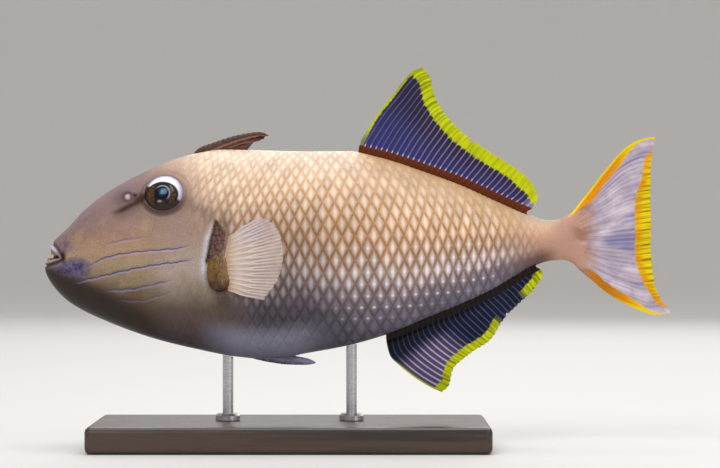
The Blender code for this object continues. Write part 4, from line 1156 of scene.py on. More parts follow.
def makeEye(side, word, look):
    centre, across, upward, out = eyeFrame(side)
    middle = centre - eyes["inset"] * out
    rings, places = [], []
    radii = np.concatenate([np.linspace(0.05, 9.2, 60), np.linspace(9.35, 10.0, 8)])
    angle = turns(96)
    for radius in radii:
        height = eyes["depth"] * math.sqrt(max(1 - (radius / eyes["radius"]) ** 2, 0))
        px, py = radius * np.cos(angle), eyes["tallness"] * radius * np.sin(angle)
        shift = np.hypot(px - eyes["pupilCentre"][0], py - eyes["pupilCentre"][1])
        height = height + 0.22 * hump(shift, 0.0, 2.6) - 0.14 * hump(shift, 4.4, 0.9)
        ring = middle + px[:, None] * across + py[:, None] * upward + height[:, None] * out
        rings.append(ring)
        places.append((np.stack([px, py], axis=-1) + eyes["mapWidth"] / 2) / eyes["mapWidth"])
    rings.append(middle + 0.55 * (rings[-1] - middle) - 2.5 * out)
    places.append(places[-1])
    points, faces = closedLoft(np.array(rings))
    makePiece("eye" + word, points, faces, look, ("eye_" + word.lower(),),
              {"eyePlace": np.array(places).reshape(-1, 2)})


eyeLook = makeEyeLook()
for side, word in flanks:
    makeEye(side, word, eyeLook)
print("eyes made")

# Teeth: blunt front teeth just behind each lip
teeth = {"count": 8, "upperLean": 6.0, "lowerLean": 16.0, "upperHeight": 3.3, "lowerHeight": 2.2,
         "width": 1.5, "colour": (0.34, 0.20, 0.12), "stain": (0.15, 0.065, 0.04)}


def makeToothLook():
    look, r, shader = newLook("toothIvory")
    stain = r.step(r.noise(r.millimetres(), 0.9, 3.0), 0.35, 0.7)
    paint(r, shader, {"Base Color": r.mix(stain, teeth["colour"], teeth["stain"]),
                      "Roughness": r.step(stain, 0.0, 1.0, (0.25, 0.45))})
    return look


def makeTeeth(row, way, look):
    front, tall = mouth[row + "Front"], teeth[row + "Height"]
    lean = math.radians(teeth[row + "Lean"])
    bite = way * np.array([math.sin(lean), 0.0, math.cos(lean)])
    angle = np.linspace(-1.05, 1.05, teeth["count"])
    corner = mouth["corner"]
    parts = []
    for a in angle:
        forward = math.cos(a) ** 0.85
        x = corner[0] + (front[0] - corner[0]) * forward + 0.7
        z = corner[1] + (front[1] - corner[1]) * forward
        base = np.array([x, (mouth["halfWidth"] - 1.2) * math.sin(a), z]) - 0.5 * bite
        outwardWay = np.array([-math.cos(a), math.sin(a), 0.0])
        sideways = np.cross(bite, outwardWay)
        sideways /= np.linalg.norm(sideways)
        facing = np.cross(sideways, bite)
        t = np.linspace(0, 1, 9)[:, None, None]
        turn = turns(12)[:, None]
        wide = teeth["width"] * (0.5 - 0.14 * t**3) * (1 - 0.6 * soft(t, 0.82, 1.0))
        thick = 0.5 * (1 - 0.5 * t) * (1 - 0.6 * soft(t, 0.85, 1.0))
        rings = base + bite * (t * tall * (0.35 + 0.65 * math.cos(a)))
        rings = rings + np.cos(turn) * sideways * wide + np.sin(turn) * facing * thick
        parts.append(closedLoft(rings))
    points, faces = joined(parts)
    makePiece(row + "Teeth", points, faces, look, ("teeth_" + row,), sharp=50)


toothLook = makeToothLook()
makeTeeth("upper", -1, toothLook)
makeTeeth("lower", 1, toothLook)

# Fins: a fine sheet between root, leading edge, trailing edge and last ray
fins = {
    "rearDorsal": {
        "root": (140.2, 215.0), "upper": True,
        "lead": [(140.2, 44.3), (145.7, 56.1), (155.9, 69.8), (165.3, 80.2), (168.8, 81.5)],
        "edge": [(168.8, 81.5), (172.4, 76.5), (174.0, 69.5), (182.7, 56.1), (196.0, 45.4),
                 (212.5, 34.7), (219.2, 27.0), (220.3, 22.6)],
        "rear": [(215.0, 16.6), (217.6, 18.6), (220.3, 22.6)],
        "rays": 34, "columns": 10, "rows": 84, "notchRay": 16.0, "notchDepth": 1.7, "split": (0.75, 1.4),
    },
    "anal": {
        "root": (152.4, 219.0), "upper": False,
        "lead": [(152.4, -38.0), (153.9, -46.3), (158.6, -51.7), (172.0, -61.0), (177.4, -63.4)],
        "edge": [(177.4, -63.4), (180.4, -60.5), (182.2, -53.5), (189.8, -46.3), (199.1, -40.0),
                 (205.2, -30.9), (212.4, -23.6), (218.3, -17.8), (222.6, -11.3)],
        "rear": [(219.0, -7.2), (221.0, -8.6), (222.6, -11.3)],
        "rays": 32, "columns": 10, "rows": 70, "notchRay": 20.0, "notchDepth": 0.8, "split": (0.7, 1.3),
    },
    "tail": {
        "root": [(230.6, 14.2), (230.6, 4.9), (230.6, -4.4)],
        "lead": [(230.6, 14.2), (233.6, 15.4), (239.7, 22.3), (250.4, 35.8), (260.6, 46.5),
                 (268.0, 49.9), (273.2, 50.6)],
        "edge": [(273.2, 50.6), (271.2, 43.5), (270.4, 33.0), (270.5, 5.0), (271.9, -14.0),
                 (275.0, -21.5), (279.9, -28.2)],
        "rear": [(230.6, -4.4), (233.4, -4.9), (240.1, -10.2), (253.0, -20.6), (263.7, -26.1),
                 (273.0, -29.0), (279.9, -28.2)],
        "rays": 19, "columns": 16, "rows": 96,
    },
    "pectoral": {
        "root": [(83.4, 5.6), (81.4, -6.0), (83.2, -17.4)],
        "lead": [(83.4, 5.6), (90.0, 10.6), (97.1, 14.7)],
        "edge": [(97.1, 14.7), (102.9, 11.6), (106.5, 5.3), (107.4, -2.2), (105.6, -11.1),
                 (98.9, -21.8)],
        "rear": [(83.2, -17.4), (91.8, -20.5), (98.9, -21.8)],
        "rays": 14, "columns": 14, "rows": 52,
    },
    "membrane": 0.18,
    "rayRise": 0.26,
    "rootDepth": 1.3,
    "sheathHeight": 3.3,
    "sheathHalf": 1.35,
}


def finPatch(fin):
    lead, rear, edge = (smoothCurve(fin[side]) for side in ("lead", "rear", "edge"))
    root = smoothCurve(fin["root"])
    nearStart, nearEnd, farStart, farEnd = lead(0.0), rear(0.0), lead(1.0), rear(1.0)

    def place(u, v):
        along, out = np.asarray(u, float)[..., None], np.asarray(v, float)[..., None]
        ruled = (1 - out) * root(u) + out * edge(u)
        leadBow = lead(v) - (1 - out) * nearStart - out * farStart
        rearBow = rear(v) - (1 - out) * nearEnd - out * farEnd
        return ruled + (1 - along) ** 2 * leadBow + along**2 * rearBow

    return place


def alongRidge(fin):
    # a median fin's root, sunk into the back or the belly
    ridge = back if fin["upper"] else belly
    sunk = -fins["rootDepth"] if fin["upper"] else fins["rootDepth"]
    stations = np.linspace(*fin["root"], 14)
    line = [(x, float(ridge(x)) + sunk) for x in stations]
    return dict(fin, root=line, lead=[line[0], *fin["lead"]], rear=[line[-1], *fin["rear"]])


def finGrid(fin, patch):
    # shares along and out, rays, the sheet with its ragged edge, and its root and height
    columns = (fin["rays"] - 1) * fin["columns"] + 1
    u, v = np.meshgrid(np.linspace(0, 1, columns), np.linspace(0, 1, fin["rows"]) ** 1.15, indexing="ij")
    ray = u * (fin["rays"] - 1)
    root = patch(u, 0 * v)
    tall = np.linalg.norm(patch(u, 0 * v + 1) - root, axis=-1)
    return u, v, ray, patch(u, raggedEdge(fin, ray, v, tall)), root, tall


def rayRidge(ray, out, split=(0.35, 0.7), narrow=0.16):
    # rays that fork on their way out
    apart = ray - np.round(ray)
    fork = 0.23 * soft(out, *split)
    width = narrow * (1 - 0.4 * soft(out, *split))
    return np.maximum(hump(apart, fork, width), hump(apart, -fork, width))


def lineDistance(points, line):
    # distance in the side view to a densely sampled line
    samples = smoothCurve(line)(np.linspace(0, 1, 220))
    flat = points.reshape(-1, 2)
    found = np.full(len(flat), 1e9)
    for start in range(0, len(samples), 20):
        chunk = samples[start:start + 20]
        apart = np.hypot(flat[:, None, 0] - chunk[None, :, 0], flat[:, None, 1] - chunk[None, :, 1])
        found = np.minimum(found, apart.min(axis=1))
    return found.reshape(points.shape[:-1])


def sheet(middle, half, normal=None):
    # a closed sheet about its middle surface, square to the fish's middle plane if not said otherwise
    if normal is None:
        normal = np.broadcast_to([0.0, 1.0, 0.0], middle.shape)
    columns, rows = middle.shape[:2]
    front = (middle - normal * half[..., None]).reshape(-1, 3)
    rear = (middle + normal * half[..., None]).reshape(-1, 3)
    other = columns * rows
    grid = ringFaces(columns, rows, closed=False)
    index = np.arange(other).reshape(columns, rows)
    rim = np.concatenate([index[:-1, 0], index[-1, :-1], index[:0:-1, -1], index[0, :0:-1]])
    ahead = np.roll(rim, -1)
    border = np.stack([rim, ahead, ahead + other, rim + other], axis=-1)
    points = np.concatenate([front, rear])
    faces = np.concatenate([grid, (grid + other)[:, ::-1], border[:, ::-1]])
    return points, faces


def twice(values):
    # values for both faces of a sheet
    return np.tile(values.reshape(-1), 2)


def rayMap(ray, v):
    return {"rayPlace": np.stack([twice(ray), twice(v)], axis=-1)}


def raggedEdge(fin, ray, v, tall):
    # the membrane is cut back a little between the rays, unevenly from ray to ray
    apart = ray - np.round(ray)
    uneven = 0.35 * np.sin(2.1 * np.round(ray) + 1.0) + 0.25 * np.sin(5.3 * np.round(ray))
    cut = (0.32 + 0.22 * uneven) * (1 - np.cos(2 * math.pi * apart)) / 2
    if "notchRay" in fin:
        cut = cut + fin["notchDepth"] * hump(ray, fin["notchRay"] + 0.5, 0.33)
    return v * (1 - cut * v**3 / np.maximum(tall, 4.0))


def medianSheet(fin, sway, name, node, look):
    u, v, ray, flat, root, tall = finGrid(fin, finPatch(alongRidge(fin)))
    above = np.linalg.norm(flat - root, axis=-1) - fins["rootDepth"]
    ridge = rayRidge(ray, v, fin["split"], 0.13)
    sheathTop = np.minimum(fins["sheathHeight"], 0.45 * tall)
    sheath = np.sqrt(np.clip(1 - (np.maximum(above, 0) / sheathTop) ** 2, 0, 1))
    half = fins["membrane"] * (1 - 0.45 * v) + fins["rayRise"] * ridge * (1 - 0.55 * v)
    half = half + (fins["sheathHalf"] + 0.12 * ridge) * sheath
    apart = ray - np.round(ray)
    half = half + 0.3 * hump(above, sheathTop + 0.1, 0.55) * np.exp(-((apart / 0.22) ** 2))
    half = half * (1 - 0.6 * soft(v, 0.985, 1.0))
    middle = np.stack([flat[..., 0], sway(u, v), flat[..., 1]], axis=-1)
    points, faces = sheet(middle, half)
    fields = {
        "edge": twice(lineDistance(flat, fin["edge"])), "lead": twice(lineDistance(flat, fin["lead"])),
        "above": twice(above - sheathTop), "sheathTop": twice(sheathTop),
        "run": twice(u), "out": twice(v),
    }
    makePiece(name, points, faces, look, (node,), rayMap(ray, v), fields, sharp=60)


def dorsalSway(u, v):
    return 1.7 * v**1.5 * np.sin(2 * math.pi * (1.15 * u + 0.1)) + 0.25 * v**2 * np.sin(2 * math.pi * 5.5 * u)


def analSway(u, v):
    curl = np.exp(-(((u - 0.72) / 0.12) ** 2))
    wave = 1.6 * np.sin(2 * math.pi * (1.1 * u + 0.55)) + 3.2 * curl + 0.25 * v * np.sin(2 * math.pi * 6 * u)
    return v**1.5 * wave


def tailSway(u, v):
    fold = np.abs(u - 0.5) ** 1.3
    return v**1.4 * (4.4 * fold + 0.9 * np.sin(2 * math.pi * 3.5 * u) * v)


finTones = {
    "membraneLow": (0.026, 0.034, 0.16), "membraneHigh": (0.018, 0.018, 0.058),
    "rayPink": (0.27, 0.165, 0.22), "yellow": (0.56, 0.62, 0.001), "yellowDeep": (0.15, 0.16, 0.001),
    "sheath": (0.105, 0.018, 0.0015), "knob": (0.50, 0.38, 0.46), "lavender": (0.26, 0.24, 0.46),
    # the anal fin's base and sheath tones are its own dark navy and brown, darkened to near black as painted
    # shade under the belly
    "navyBaseShade": (0.002, 0.0015, 0.003), "navy": (0.0035, 0.0055, 0.026), "analRay": (0.50, 0.42, 0.60),
    "analRayDim": (0.05, 0.062, 0.13), "analSheathShade": (0.012, 0.007, 0.005),
    "analPurple": (0.115, 0.088, 0.18),
}


def makeRayStreaks():
    # where the rays run, from their number and the share out
    group, r, start, end = newGroup(
        "rayStreaks", {"Ray Place": "place", "Fork From": "value", "Fork To": "value", "Width": "value"},
        {"Ray": "value", "Joint": "value"})
    ray, out = r.parts(start["Ray Place"], 0, 1)
    apart = r.calc("FRACT", ray + 0.5) - 0.5
    fork = r.step(out, start["Fork From"], start["Fork To"], (0.0, 0.23))
    r.feed(r.step(abs(abs(apart) - fork) / start["Width"], 1.0, 0.3), end["Ray"])
    r.feed(r.step(r.calc("SINE", out * 190.0), -0.2, 0.9), end["Joint"])
    return group


rayStreaks = makeRayStreaks()


def newWeb(name, forkFrom, forkTo, width):
    # a fin's look, with the place on it and its rays
    look, r, shader = newLook(name)
    rays = r.use(rayStreaks, {"Ray Place": r.add("UVMap", uv_map="rayPlace"), "Fork From": forkFrom,
                              "Fork To": forkTo, "Width": width})
    return look, r, shader, r.millimetres(), rays


def finishWeb(r, shader, place, rays, colour, amount):
    # the last coat of the dorsal, anal and tail fins: speckle, satin gloss and jointed rays
    colour = speckled(r, place, colour, amount)
    relief = rays["Joint"] * rays["Ray"] + r.noise(place, 1.8, 3.0)
    paint(r, shader, {"Base Color": colour, "Roughness": r.step(r.noise(place, 1.4), 0.3, 0.7, (0.36, 0.5)),
                      "Specular IOR Level": 0.14}, (relief, 0.25, 0.00012))


def wiggled(r, place, scale, width):
    # an uneven shift of a margin's edge
    return (r.noise(place, scale, 2.0) - 0.5) * width


def streaked(r, run, out, count, detail=2.0):
    # streaks that run out along the rays
    return r.noise(r.vector(run * count, out, 0.0), 1.0, detail)


def makeDorsalLook():
    look, r, shader, place, rays = newWeb("dorsalPaint", 0.75, 1.4, 0.16)
    run, out, above, edge, lead = r.fields("run", "out", "above", "edge", "lead")
    colour = r.mix(r.step(out, 0.2, 0.75), finTones["membraneLow"], finTones["membraneHigh"])
    rayShare = rays["Ray"] * r.step(run, 0.08, 0.45, (0.35, 0.9))
    rearEnd = r.step(run, 0.93, 0.97) * r.step(out, 0.75, 0.55)
    wiggle = wiggled(r, place, 0.7, 1.7)
    marginWidth = r.step(run, 0.85, 1.0, (5.4, 3.2)) + rays["Ray"] * 0.7
    margin = r.step(edge + wiggle - marginWidth, 0.6, -0.5)
    deep = r.step(streaked(r, run, out, 60.0), 0.42, 0.62) * r.step(run, 0.7, 0.1, (0.3, 0.85))
    yellow = r.mix(deep, finTones["yellow"], finTones["yellowDeep"])
    leading = r.step(lead + wiggle * 0.8, 1.5, 0.6) * r.step(out, 0.12, 0.3, (0.3, 1.0))
    knobs = r.step(abs(above - 0.1), 0.85, 0.35) * rays["Ray"]
    colour = r.layers(colour, (rayShare, finTones["rayPink"]), (rearEnd * 0.8, finTones["lavender"]),
                      (margin, yellow), (leading, yellow), (r.step(above, 0.1, -0.5), finTones["sheath"]),
                      (knobs, finTones["knob"]))
    finishWeb(r, shader, place, rays, colour, 0.5)
    return look


def makeAnalLook():
    look, r, shader, place, rays = newWeb("analPaint", 0.7, 1.3, 0.2)
    run, out, above, edge, lead = r.fields("run", "out", "above", "edge", "lead")
    # painted shade: the fin's base under the belly is darkened to near black
    colour = r.mix(r.step(out, 0.1, 0.4), finTones["navyBaseShade"], finTones["navy"])
    nearTip = r.step(out, 0.3, 0.55) * r.step(run, 0.40, 0.22)
    dimShare = rays["Ray"] * r.step(out, 0.1, 0.4, (0.25, 0.9))
    margin = r.step(edge + wiggled(r, place, 0.7, 1.7) - 3.9, 0.45, -0.35)
    margin = margin * (1.0 - r.window(run, 0.56, 0.62, 0.79, 0.86))
    deep = r.step(streaked(r, run, out, 60.0), 0.42, 0.62, (0.0, 0.8))
    yellow = r.mix(deep, finTones["yellow"], finTones["yellowDeep"])
    leading = r.step(lead, 0.9, 0.45) * r.step(out, 0.3, 0.55)
    # the sheath at the root holds painted shade under the belly too
    colour = r.layers(colour, (nearTip * 0.7, finTones["analPurple"]), (dimShare, finTones["analRayDim"]),
                      (rays["Ray"] * nearTip * 0.95, finTones["analRay"]), (margin, yellow),
                      (leading, yellow), (r.step(above, -0.5, -1.3), finTones["analSheathShade"]))
    finishWeb(r, shader, place, rays, colour, 0.5)
    return look


medianSheet(fins["rearDorsal"], dorsalSway, "rearDorsal", "dorsal_fin_rear", makeDorsalLook())
medianSheet(fins["anal"], analSway, "analFin", "anal_fin", makeAnalLook())
print("dorsal and anal fins made")

tailTones = {
    "field": (0.42, 0.34, 0.42), "fieldPale": (0.64, 0.55, 0.64), "streak": (0.13, 0.145, 0.34),
    "base": (0.50, 0.285, 0.21), "baseRust": (0.36, 0.175, 0.115), "cloud": (0.30, 0.25, 0.36),
    "yellow": (0.82, 0.62, 0.001), "olive": (0.26, 0.22, 0.001), "orange": (0.74, 0.27, 0.001),
    "orangeDeep": (0.50, 0.18, 0.002),
}


def makeTailField(r, place, run, out, rays):
    # the pale lavender field: streaks, clouds, a painted shade line along the central fold, and the rusty
    # base
    fanned = r.vector(run * 26.0, out * 2.2, 0.0)
    band = r.noise(fanned, 0.55, 3.0, 0.6)
    bluish = r.step(r.noise(fanned, 0.8, 2.0), 0.52, 0.72) * r.step(out, 0.35, 0.75)
    cloudy = r.step(r.noise(place, 0.13, 2.0), 0.42, 0.6, (0.0, 0.5))
    # painted shade: a dark blue line along the fold in the tail's middle
    centre = r.step(abs(run - 0.56), 0.05, 0.015) * r.window(out, 0.42, 0.58, 0.85, 0.98)
    basal = r.step(out + (band - 0.5) * 0.35, 0.5, 0.2)
    rusty = r.step(r.noise(place, 0.2, 2.0), 0.45, 0.62) * r.step(out, 0.04, 0.2)
    return r.layers(r.mix(r.step(band, 0.42, 0.62), tailTones["field"], tailTones["fieldPale"]),
                    (bluish * 0.8, tailTones["streak"]), (cloudy, tailTones["cloud"]),
                    (centre * 0.8, tailTones["streak"]), (rays["Ray"] * 0.25, tailTones["fieldPale"]),
                    (basal, r.mix(rusty, tailTones["base"], tailTones["baseRust"])))


def makeTailLook():
    look, r, shader, place, rays = newWeb("tailPaint", 0.3, 0.55, 0.16)
    run, out, edge, lead, rear = r.fields("run", "out", "edge", "lead", "rear")
    wiggle = wiggled(r, place, 0.6, 1.4)
    # the outer bands along the upper and lower edge
    sideShare = r.calc("MINIMUM", lead, rear)
    swell = r.window(out, 0.05, 0.45, 0.65, 0.95)
    outerBand = r.step(sideShare + wiggle - r.step(swell, 0.0, 1.0, (1.0, 3.7)), 0.3, -0.3)
    below = r.step(run, 0.45, 0.6) * r.step(out, 0.75, 0.45)
    thinEdge = r.step(sideShare, 1.1, 0.4) * (1.0 - below)
    brightEdge = r.layers(r.mix(below, tailTones["orange"], tailTones["orangeDeep"]),
                          (thinEdge, tailTones["yellow"]), (r.step(out, 0.62, 0.85), tailTones["yellow"]))
    bare = r.step(run, 0.7, 0.8) * r.step(out, 0.34, 0.2)
    lowTip = r.step(run, 0.7, 0.8) * r.step(out, 0.9, 0.96)
    outerBand = outerBand * (1.0 - r.calc("MAXIMUM", bare, lowTip)) * r.step(out, 0.03, 0.12)
    # the golden band along the rear edge
    middleness = 1.0 - abs(run - 0.52) * 2.0
    rearWidth = r.step(middleness, 0.10, 0.2, (0.3, 3.0)) + r.step(middleness, 0.2, 0.75, (0.0, 4.2))
    rearBand = r.step(edge + wiggle - rearWidth, 0.3, -0.3)
    gold = r.mix(r.step(streaked(r, run, out, 60.0, 1.0), 0.45, 0.62), tailTones["yellow"],
                 tailTones["olive"])
    streaky = r.step(streaked(r, run, 0.0, 34.0), 0.38, 0.6, (0.35, 0.95))
    gold = r.mix(r.step(rearWidth - edge, 4.2, 1.4) * streaky, gold, tailTones["orange"])
    colour = r.layers(makeTailField(r, place, run, out, rays), (outerBand, brightEdge), (rearBand, gold))
    finishWeb(r, shader, place, rays, colour, 0.35)
    return look


def makeTail():
    fin = fins["tail"]
    u, v, ray, flat = finGrid(fin, finPatch(fin))[:4]
    past = np.maximum(flat[..., 0] - body["end"], 0)
    stalk = flank(np.full(u.shape, 232.6), flat[:, :1, 1]) - 0.12
    fleshy = np.clip(1 - past / 21.0, 0, 1) ** 1.7
    rays = fins["rayRise"] * rayRidge(ray, v, (0.3, 0.55)) * (1 - 0.45 * v)
    half = fins["membrane"] + rays * (1 - fleshy) + fleshy * np.maximum(stalk - fins["membrane"], 0)
    half = half * (1 - 0.6 * soft(v, 0.99, 1.0))
    middle = np.stack([flat[..., 0], tailSway(u, v), flat[..., 1]], axis=-1)
    points, faces = sheet(middle, half)
    fields = {
        "edge": twice(lineDistance(flat, fin["edge"])), "lead": twice(lineDistance(flat, fin["lead"])),
        "rear": twice(lineDistance(flat, fin["rear"])), "run": twice(u), "out": twice(v),
    }
    makePiece("tailFin", points, faces, makeTailLook(), ("tail_fin",), rayMap(ray, v),
              fields, sharp=60)


makeTail()
print("tail made")

# Pectoral fins: a fan of forked rays on a fleshy lobe
pectoral = {
    "standsOff": (1.0, 6.0), "lobeCentre": (79.3, -0.3, -9.9), "lobeSize": (5.7, 2.5, 8.4),
    "ray": (0.68, 0.575, 0.545), "membrane": (0.66, 0.53, 0.44), "lilac": (0.64, 0.56, 0.66),
    "root": (0.46, 0.31, 0.20),
    "lobe": (0.175, 0.090, 0.020), "lobeShade": (0.042, 0.015, 0.007), "lobeLight": (0.27, 0.155, 0.07),
}


def makePectoralLook():
    look, r, shader, place, rays = newWeb("pectoralPaint", 0.3, 0.6, 0.2)
    run, out = r.fields("run", "out")
    patchy = r.noise(place, 0.45, 2.0)
    web = r.mix(r.step(patchy, 0.35, 0.65, (0.0, 0.4)), pectoral["membrane"], pectoral["ray"])
    rayTone = r.mix(r.step(run, 0.45, 0.1), pectoral["ray"], pectoral["lilac"])
    colour = r.layers(web, (rays["Ray"] * 0.85, rayTone),
                      (r.step(out, 0.3, 0.02, (0.0, 0.9)), pectoral["root"]))
    colour = speckled(r, place, colour, 0.5)
    clear = r.step(out, 0.1, 0.65, (1.0, 0.38))  # the web between the rays lets the flank show through
    firm = r.step(out, 0.4, 1.0, (1.0, 0.55)) - clear
    paint(r, shader, {"Base Color": colour, "Alpha": clear + rays["Ray"] * firm,
                      "Roughness": r.step(patchy, 0.3, 0.7, (0.36, 0.5)), "Specular IOR Level": 0.25},
          (r.noise(place, 1.8, 3.0), 0.4, 0.0002))
    return look


def makeLobeLook():
    look, r, shader = newLook("lobePaint")
    place = r.millimetres()
    along, height = r.parts(place, 0, 2)
    uneven = (r.noise(place, 0.35, 3.0) - 0.5) * 10.0
    rearward = along + uneven * 0.5
    streaky = r.noise(r.stretched(place, (1.3, 1.0, 0.5)), 0.7, 4.0, 0.65)
    band = r.window(rearward, -34.5, -31.5, -31.0, -28.0)
    band = (band * 0.6 + 0.3) * r.step(streaky, 0.4, 0.62)
    colour = r.mix(r.step(rearward, -32.5, -28.0), pectoral["lobe"], pectoral["lobeLight"])
    colour = r.layers(colour, (band, pectoral["lobeShade"]),
                      (r.step(height + uneven, 78.0, 69.5), pectoral["lobeShade"]))
    colour = speckled(r, place, colour, 0.5)
    paint(r, shader, {"Base Color": colour, "Roughness": r.step(r.noise(place, 1.6), 0.3, 0.7, (0.3, 0.45)),
                      "Specular IOR Level": 0.3}, (r.noise(place, 1.1, 3.0), 0.5, 0.0004))
    return look


def makePectoral(side, word, look):
    fin = fins["pectoral"]
    u, v, ray, flat = finGrid(fin, finPatch(fin))[:4]
    near, far = pectoral["standsOff"]
    out = flank(flat[..., 0], flat[..., 1]) + near + (far - near) * v**1.3
    out = out + 0.35 * v * np.sin(2 * math.pi * 2.5 * u) - 1.4 * (1 - soft(v, 0.0, 0.12))
    middle = np.stack([flat[..., 0], side * out, flat[..., 1]], axis=-1)
    normal = np.cross(np.gradient(middle, axis=1), np.gradient(middle, axis=0))
    normal /= np.linalg.norm(normal, axis=-1, keepdims=True)
    half = 0.14 * (1 - 0.3 * v) + 0.3 * rayRidge(ray, v, (0.3, 0.6), 0.2) * (1 - 0.6 * v)
    half = half + 0.6 * (1 - soft(v, 0.02, 0.22))
    half = half * (1 - 0.5 * soft(v, 0.985, 1.0))
    points, faces = sheet(middle, half, normal)
    faces = facedOut(points, faces)
    makePiece("pectoral" + word, points, faces, look, ("pectoral_fin_" + word.lower(),),
              rayMap(ray, v), {"run": twice(u), "out": twice(v)}, sharp=60)


def makeLobe(side, word, look):
    # the fleshy lobe that the fin's rays spring from
    x, outBy, z = pectoral["lobeCentre"]
    sizeX, sizeY, sizeZ = pectoral["lobeSize"]
    centre = np.array([x, side * (float(flank(x, z)) + outBy), z])
    turn = turns(48)[None]
    t = np.linspace(0.02, math.pi - 0.02, 40)[:, None]
    wave = 1 + 0.07 * np.cos(3 * turn + 4 * t) + 0.05 * np.cos(2 * turn - 5 * t) + 0.03 * np.cos(7 * turn)
    rings = np.stack([sizeX * np.sin(t) * np.cos(turn) * wave, sizeY * np.sin(t) * np.sin(turn) * wave,
                      sizeZ * np.cos(t) + 0 * turn], axis=-1)
    points, faces = closedLoft(centre + rings)
    makePiece("pectoralLobe" + word, points, faces, look, ("pectoral_fin_" + word.lower(),))


pectoralLook, lobeLook = makePectoralLook(), makeLobeLook()
for side, word in flanks:
    makePectoral(side, word, pectoralLook)
    makeLobe(side, word, lobeLook)
print("pectoral fins made")

# Front dorsal: the stout locking spine folded back, two small spines and the web between
spiny = {
    "lead": [(67.6, 42.0), (69.5, 43.7), (74.8, 45.6), (82.0, 48.3), (89.2, 50.4), (96.4, 51.5),
             (100.0, 50.9)],
    "radii": [1.4, 1.9, 1.75, 1.5, 1.25, 0.8],
    "second": [(76.5, 43.6), (83.0, 46.4), (90.0, 48.3), (96.6, 48.9)],
    "secondRadii": [1.1, 1.0, 0.8, 0.4],
    "third": [(82.0, 43.9), (86.5, 45.6), (91.2, 46.9)],
    "thirdRadii": [0.9, 0.8, 0.4],
    "webFrom": 70.5, "webTo": 98.0,
    "brown": (0.105, 0.026, 0.009), "light": (0.36, 0.19, 0.13), "dark": (0.018, 0.006, 0.003),
}


def makeSpinyLook():
    look, r, shader = newLook("spinyPaint")
    place = r.millimetres()
    long = r.noise(r.stretched(place, (0.25, 1.0, 1.3)), 0.9, 4.0)
    colour = r.mix(r.step(long, 0.3, 0.7), spiny["dark"], spiny["brown"])
    colour = r.mix(r.step(r.field("crest"), 0.2, 0.75), colour, spiny["light"])
    colour = speckled(r, place, colour, 0.7)
    paint(r, shader, {"Base Color": colour, "Roughness": r.step(long, 0.2, 0.8, (0.38, 0.58))},
          (r.cells(place, 1.3) + long, 0.6, 0.0004))
    return look


def taperedLine(line, radii, steps):
    # shares, points and radii along a line in the middle plane
    share = np.linspace(0, 1, steps)
    flat = smoothCurve(line)(share)
    path = np.stack([flat[:, 0], 0 * flat[:, 0], flat[:, 1]], axis=-1)
    return share, path, smoothLine(list(zip(np.linspace(0, 1, len(radii)), radii)))(share)


def spineTube(line, radii, around, steps, flatten):
    share, path, width = taperedLine(line, radii, steps)
    width = width * np.sqrt(np.clip(1 - soft(share, 0.93, 1.0) * 0.9, 0.05, 1))
    bumps = 1 + 0.06 * np.sin(share * 95) * soft(share, 0.05, 0.2)
    rings = tubeRings(path, width * bumps, around, flatten)
    return closedLoft(rings), np.tile(-np.cos(turns(around)), steps)


def makeFrontDorsal():
    parts, crests = [], []
    for sizes in ((spiny["lead"], spiny["radii"], 28, 110, 0.85),
                  (spiny["second"], spiny["secondRadii"], 18, 60, 0.7),
                  (spiny["third"], spiny["thirdRadii"], 16, 40, 0.7)):
        part, crest = spineTube(*sizes)
        parts.append(part)
        crests.append(crest)
    share = np.linspace(0, 1, 120)
    top = smoothCurve(spiny["lead"])(0.06 + 0.9 * share)
    bottomX = np.interp(share, [0, 1], [spiny["webFrom"], spiny["webTo"]])
    sag = np.minimum(back(bottomX) + 0.4 + 4.6 * share**2.2, np.interp(bottomX, top[:, 0], top[:, 1]) - 0.4)
    rows = np.linspace(0, 1, 26)
    free = soft(share, 0.66, 0.86)
    lower = np.stack([bottomX, (1 - free) * (back(bottomX) - 1.2) + free * sag], axis=-1)
    flat = lower[:, None] + (top[:, None] - lower[:, None]) * rows[None, :, None]
    pleat = 0.45 * np.sin(rows[None] * 9 + 5 * share[:, None]) * np.sin(math.pi * rows)[None]
    middle = np.stack([flat[..., 0], pleat, flat[..., 1]], axis=-1)
    half = 0.3 + 0.12 * np.sin(share[:, None] * 60 + rows[None] * 4)
    web = sheet(middle, half)
    parts.append((web[0], facedOut(*web)))
    crests.append(np.full(len(web[0]), -1.0))
    points, faces = joined(parts)
    makePiece("frontDorsal", points, faces, makeSpinyLook(), ("dorsal_fin_front",),
              fields={"crest": np.concatenate(crests)}, sharp=60)


makeFrontDorsal()

# Pelvic spine: a rough keel that ends in a blunt knob
keel = {
    "line": [(90.5, -46.6), (93.5, -47.2), (100.7, -47.9), (107.0, -48.7), (114.0, -49.4),
             (118.8, -49.9), (121.0, -50.2)],
    "radii": [0.8, 1.5, 2.1, 2.2, 2.0, 1.6, 0.9],
    "pale": (0.19, 0.175, 0.245), "dark": (0.115, 0.102, 0.145), "tip": (0.26, 0.24, 0.38),
}


def makeKeelLook():
    look, r, shader = newLook("keelPaint")
    place = r.millimetres()
    patchy = r.noise(place, 0.6, 3.0)
    toTip = r.step(r.parts(place, 0)[0], -2.0, 9.0, (0.0, 0.8))
    colour = r.mix(toTip, r.mix(r.step(patchy, 0.35, 0.65), keel["dark"], keel["pale"]), keel["tip"])
    paint(r, shader, {"Base Color": colour, "Roughness": r.step(patchy, 0.3, 0.7, (0.4, 0.55))},
          (r.cells(place, 1.1), 0.7, 0.0005))
    return look


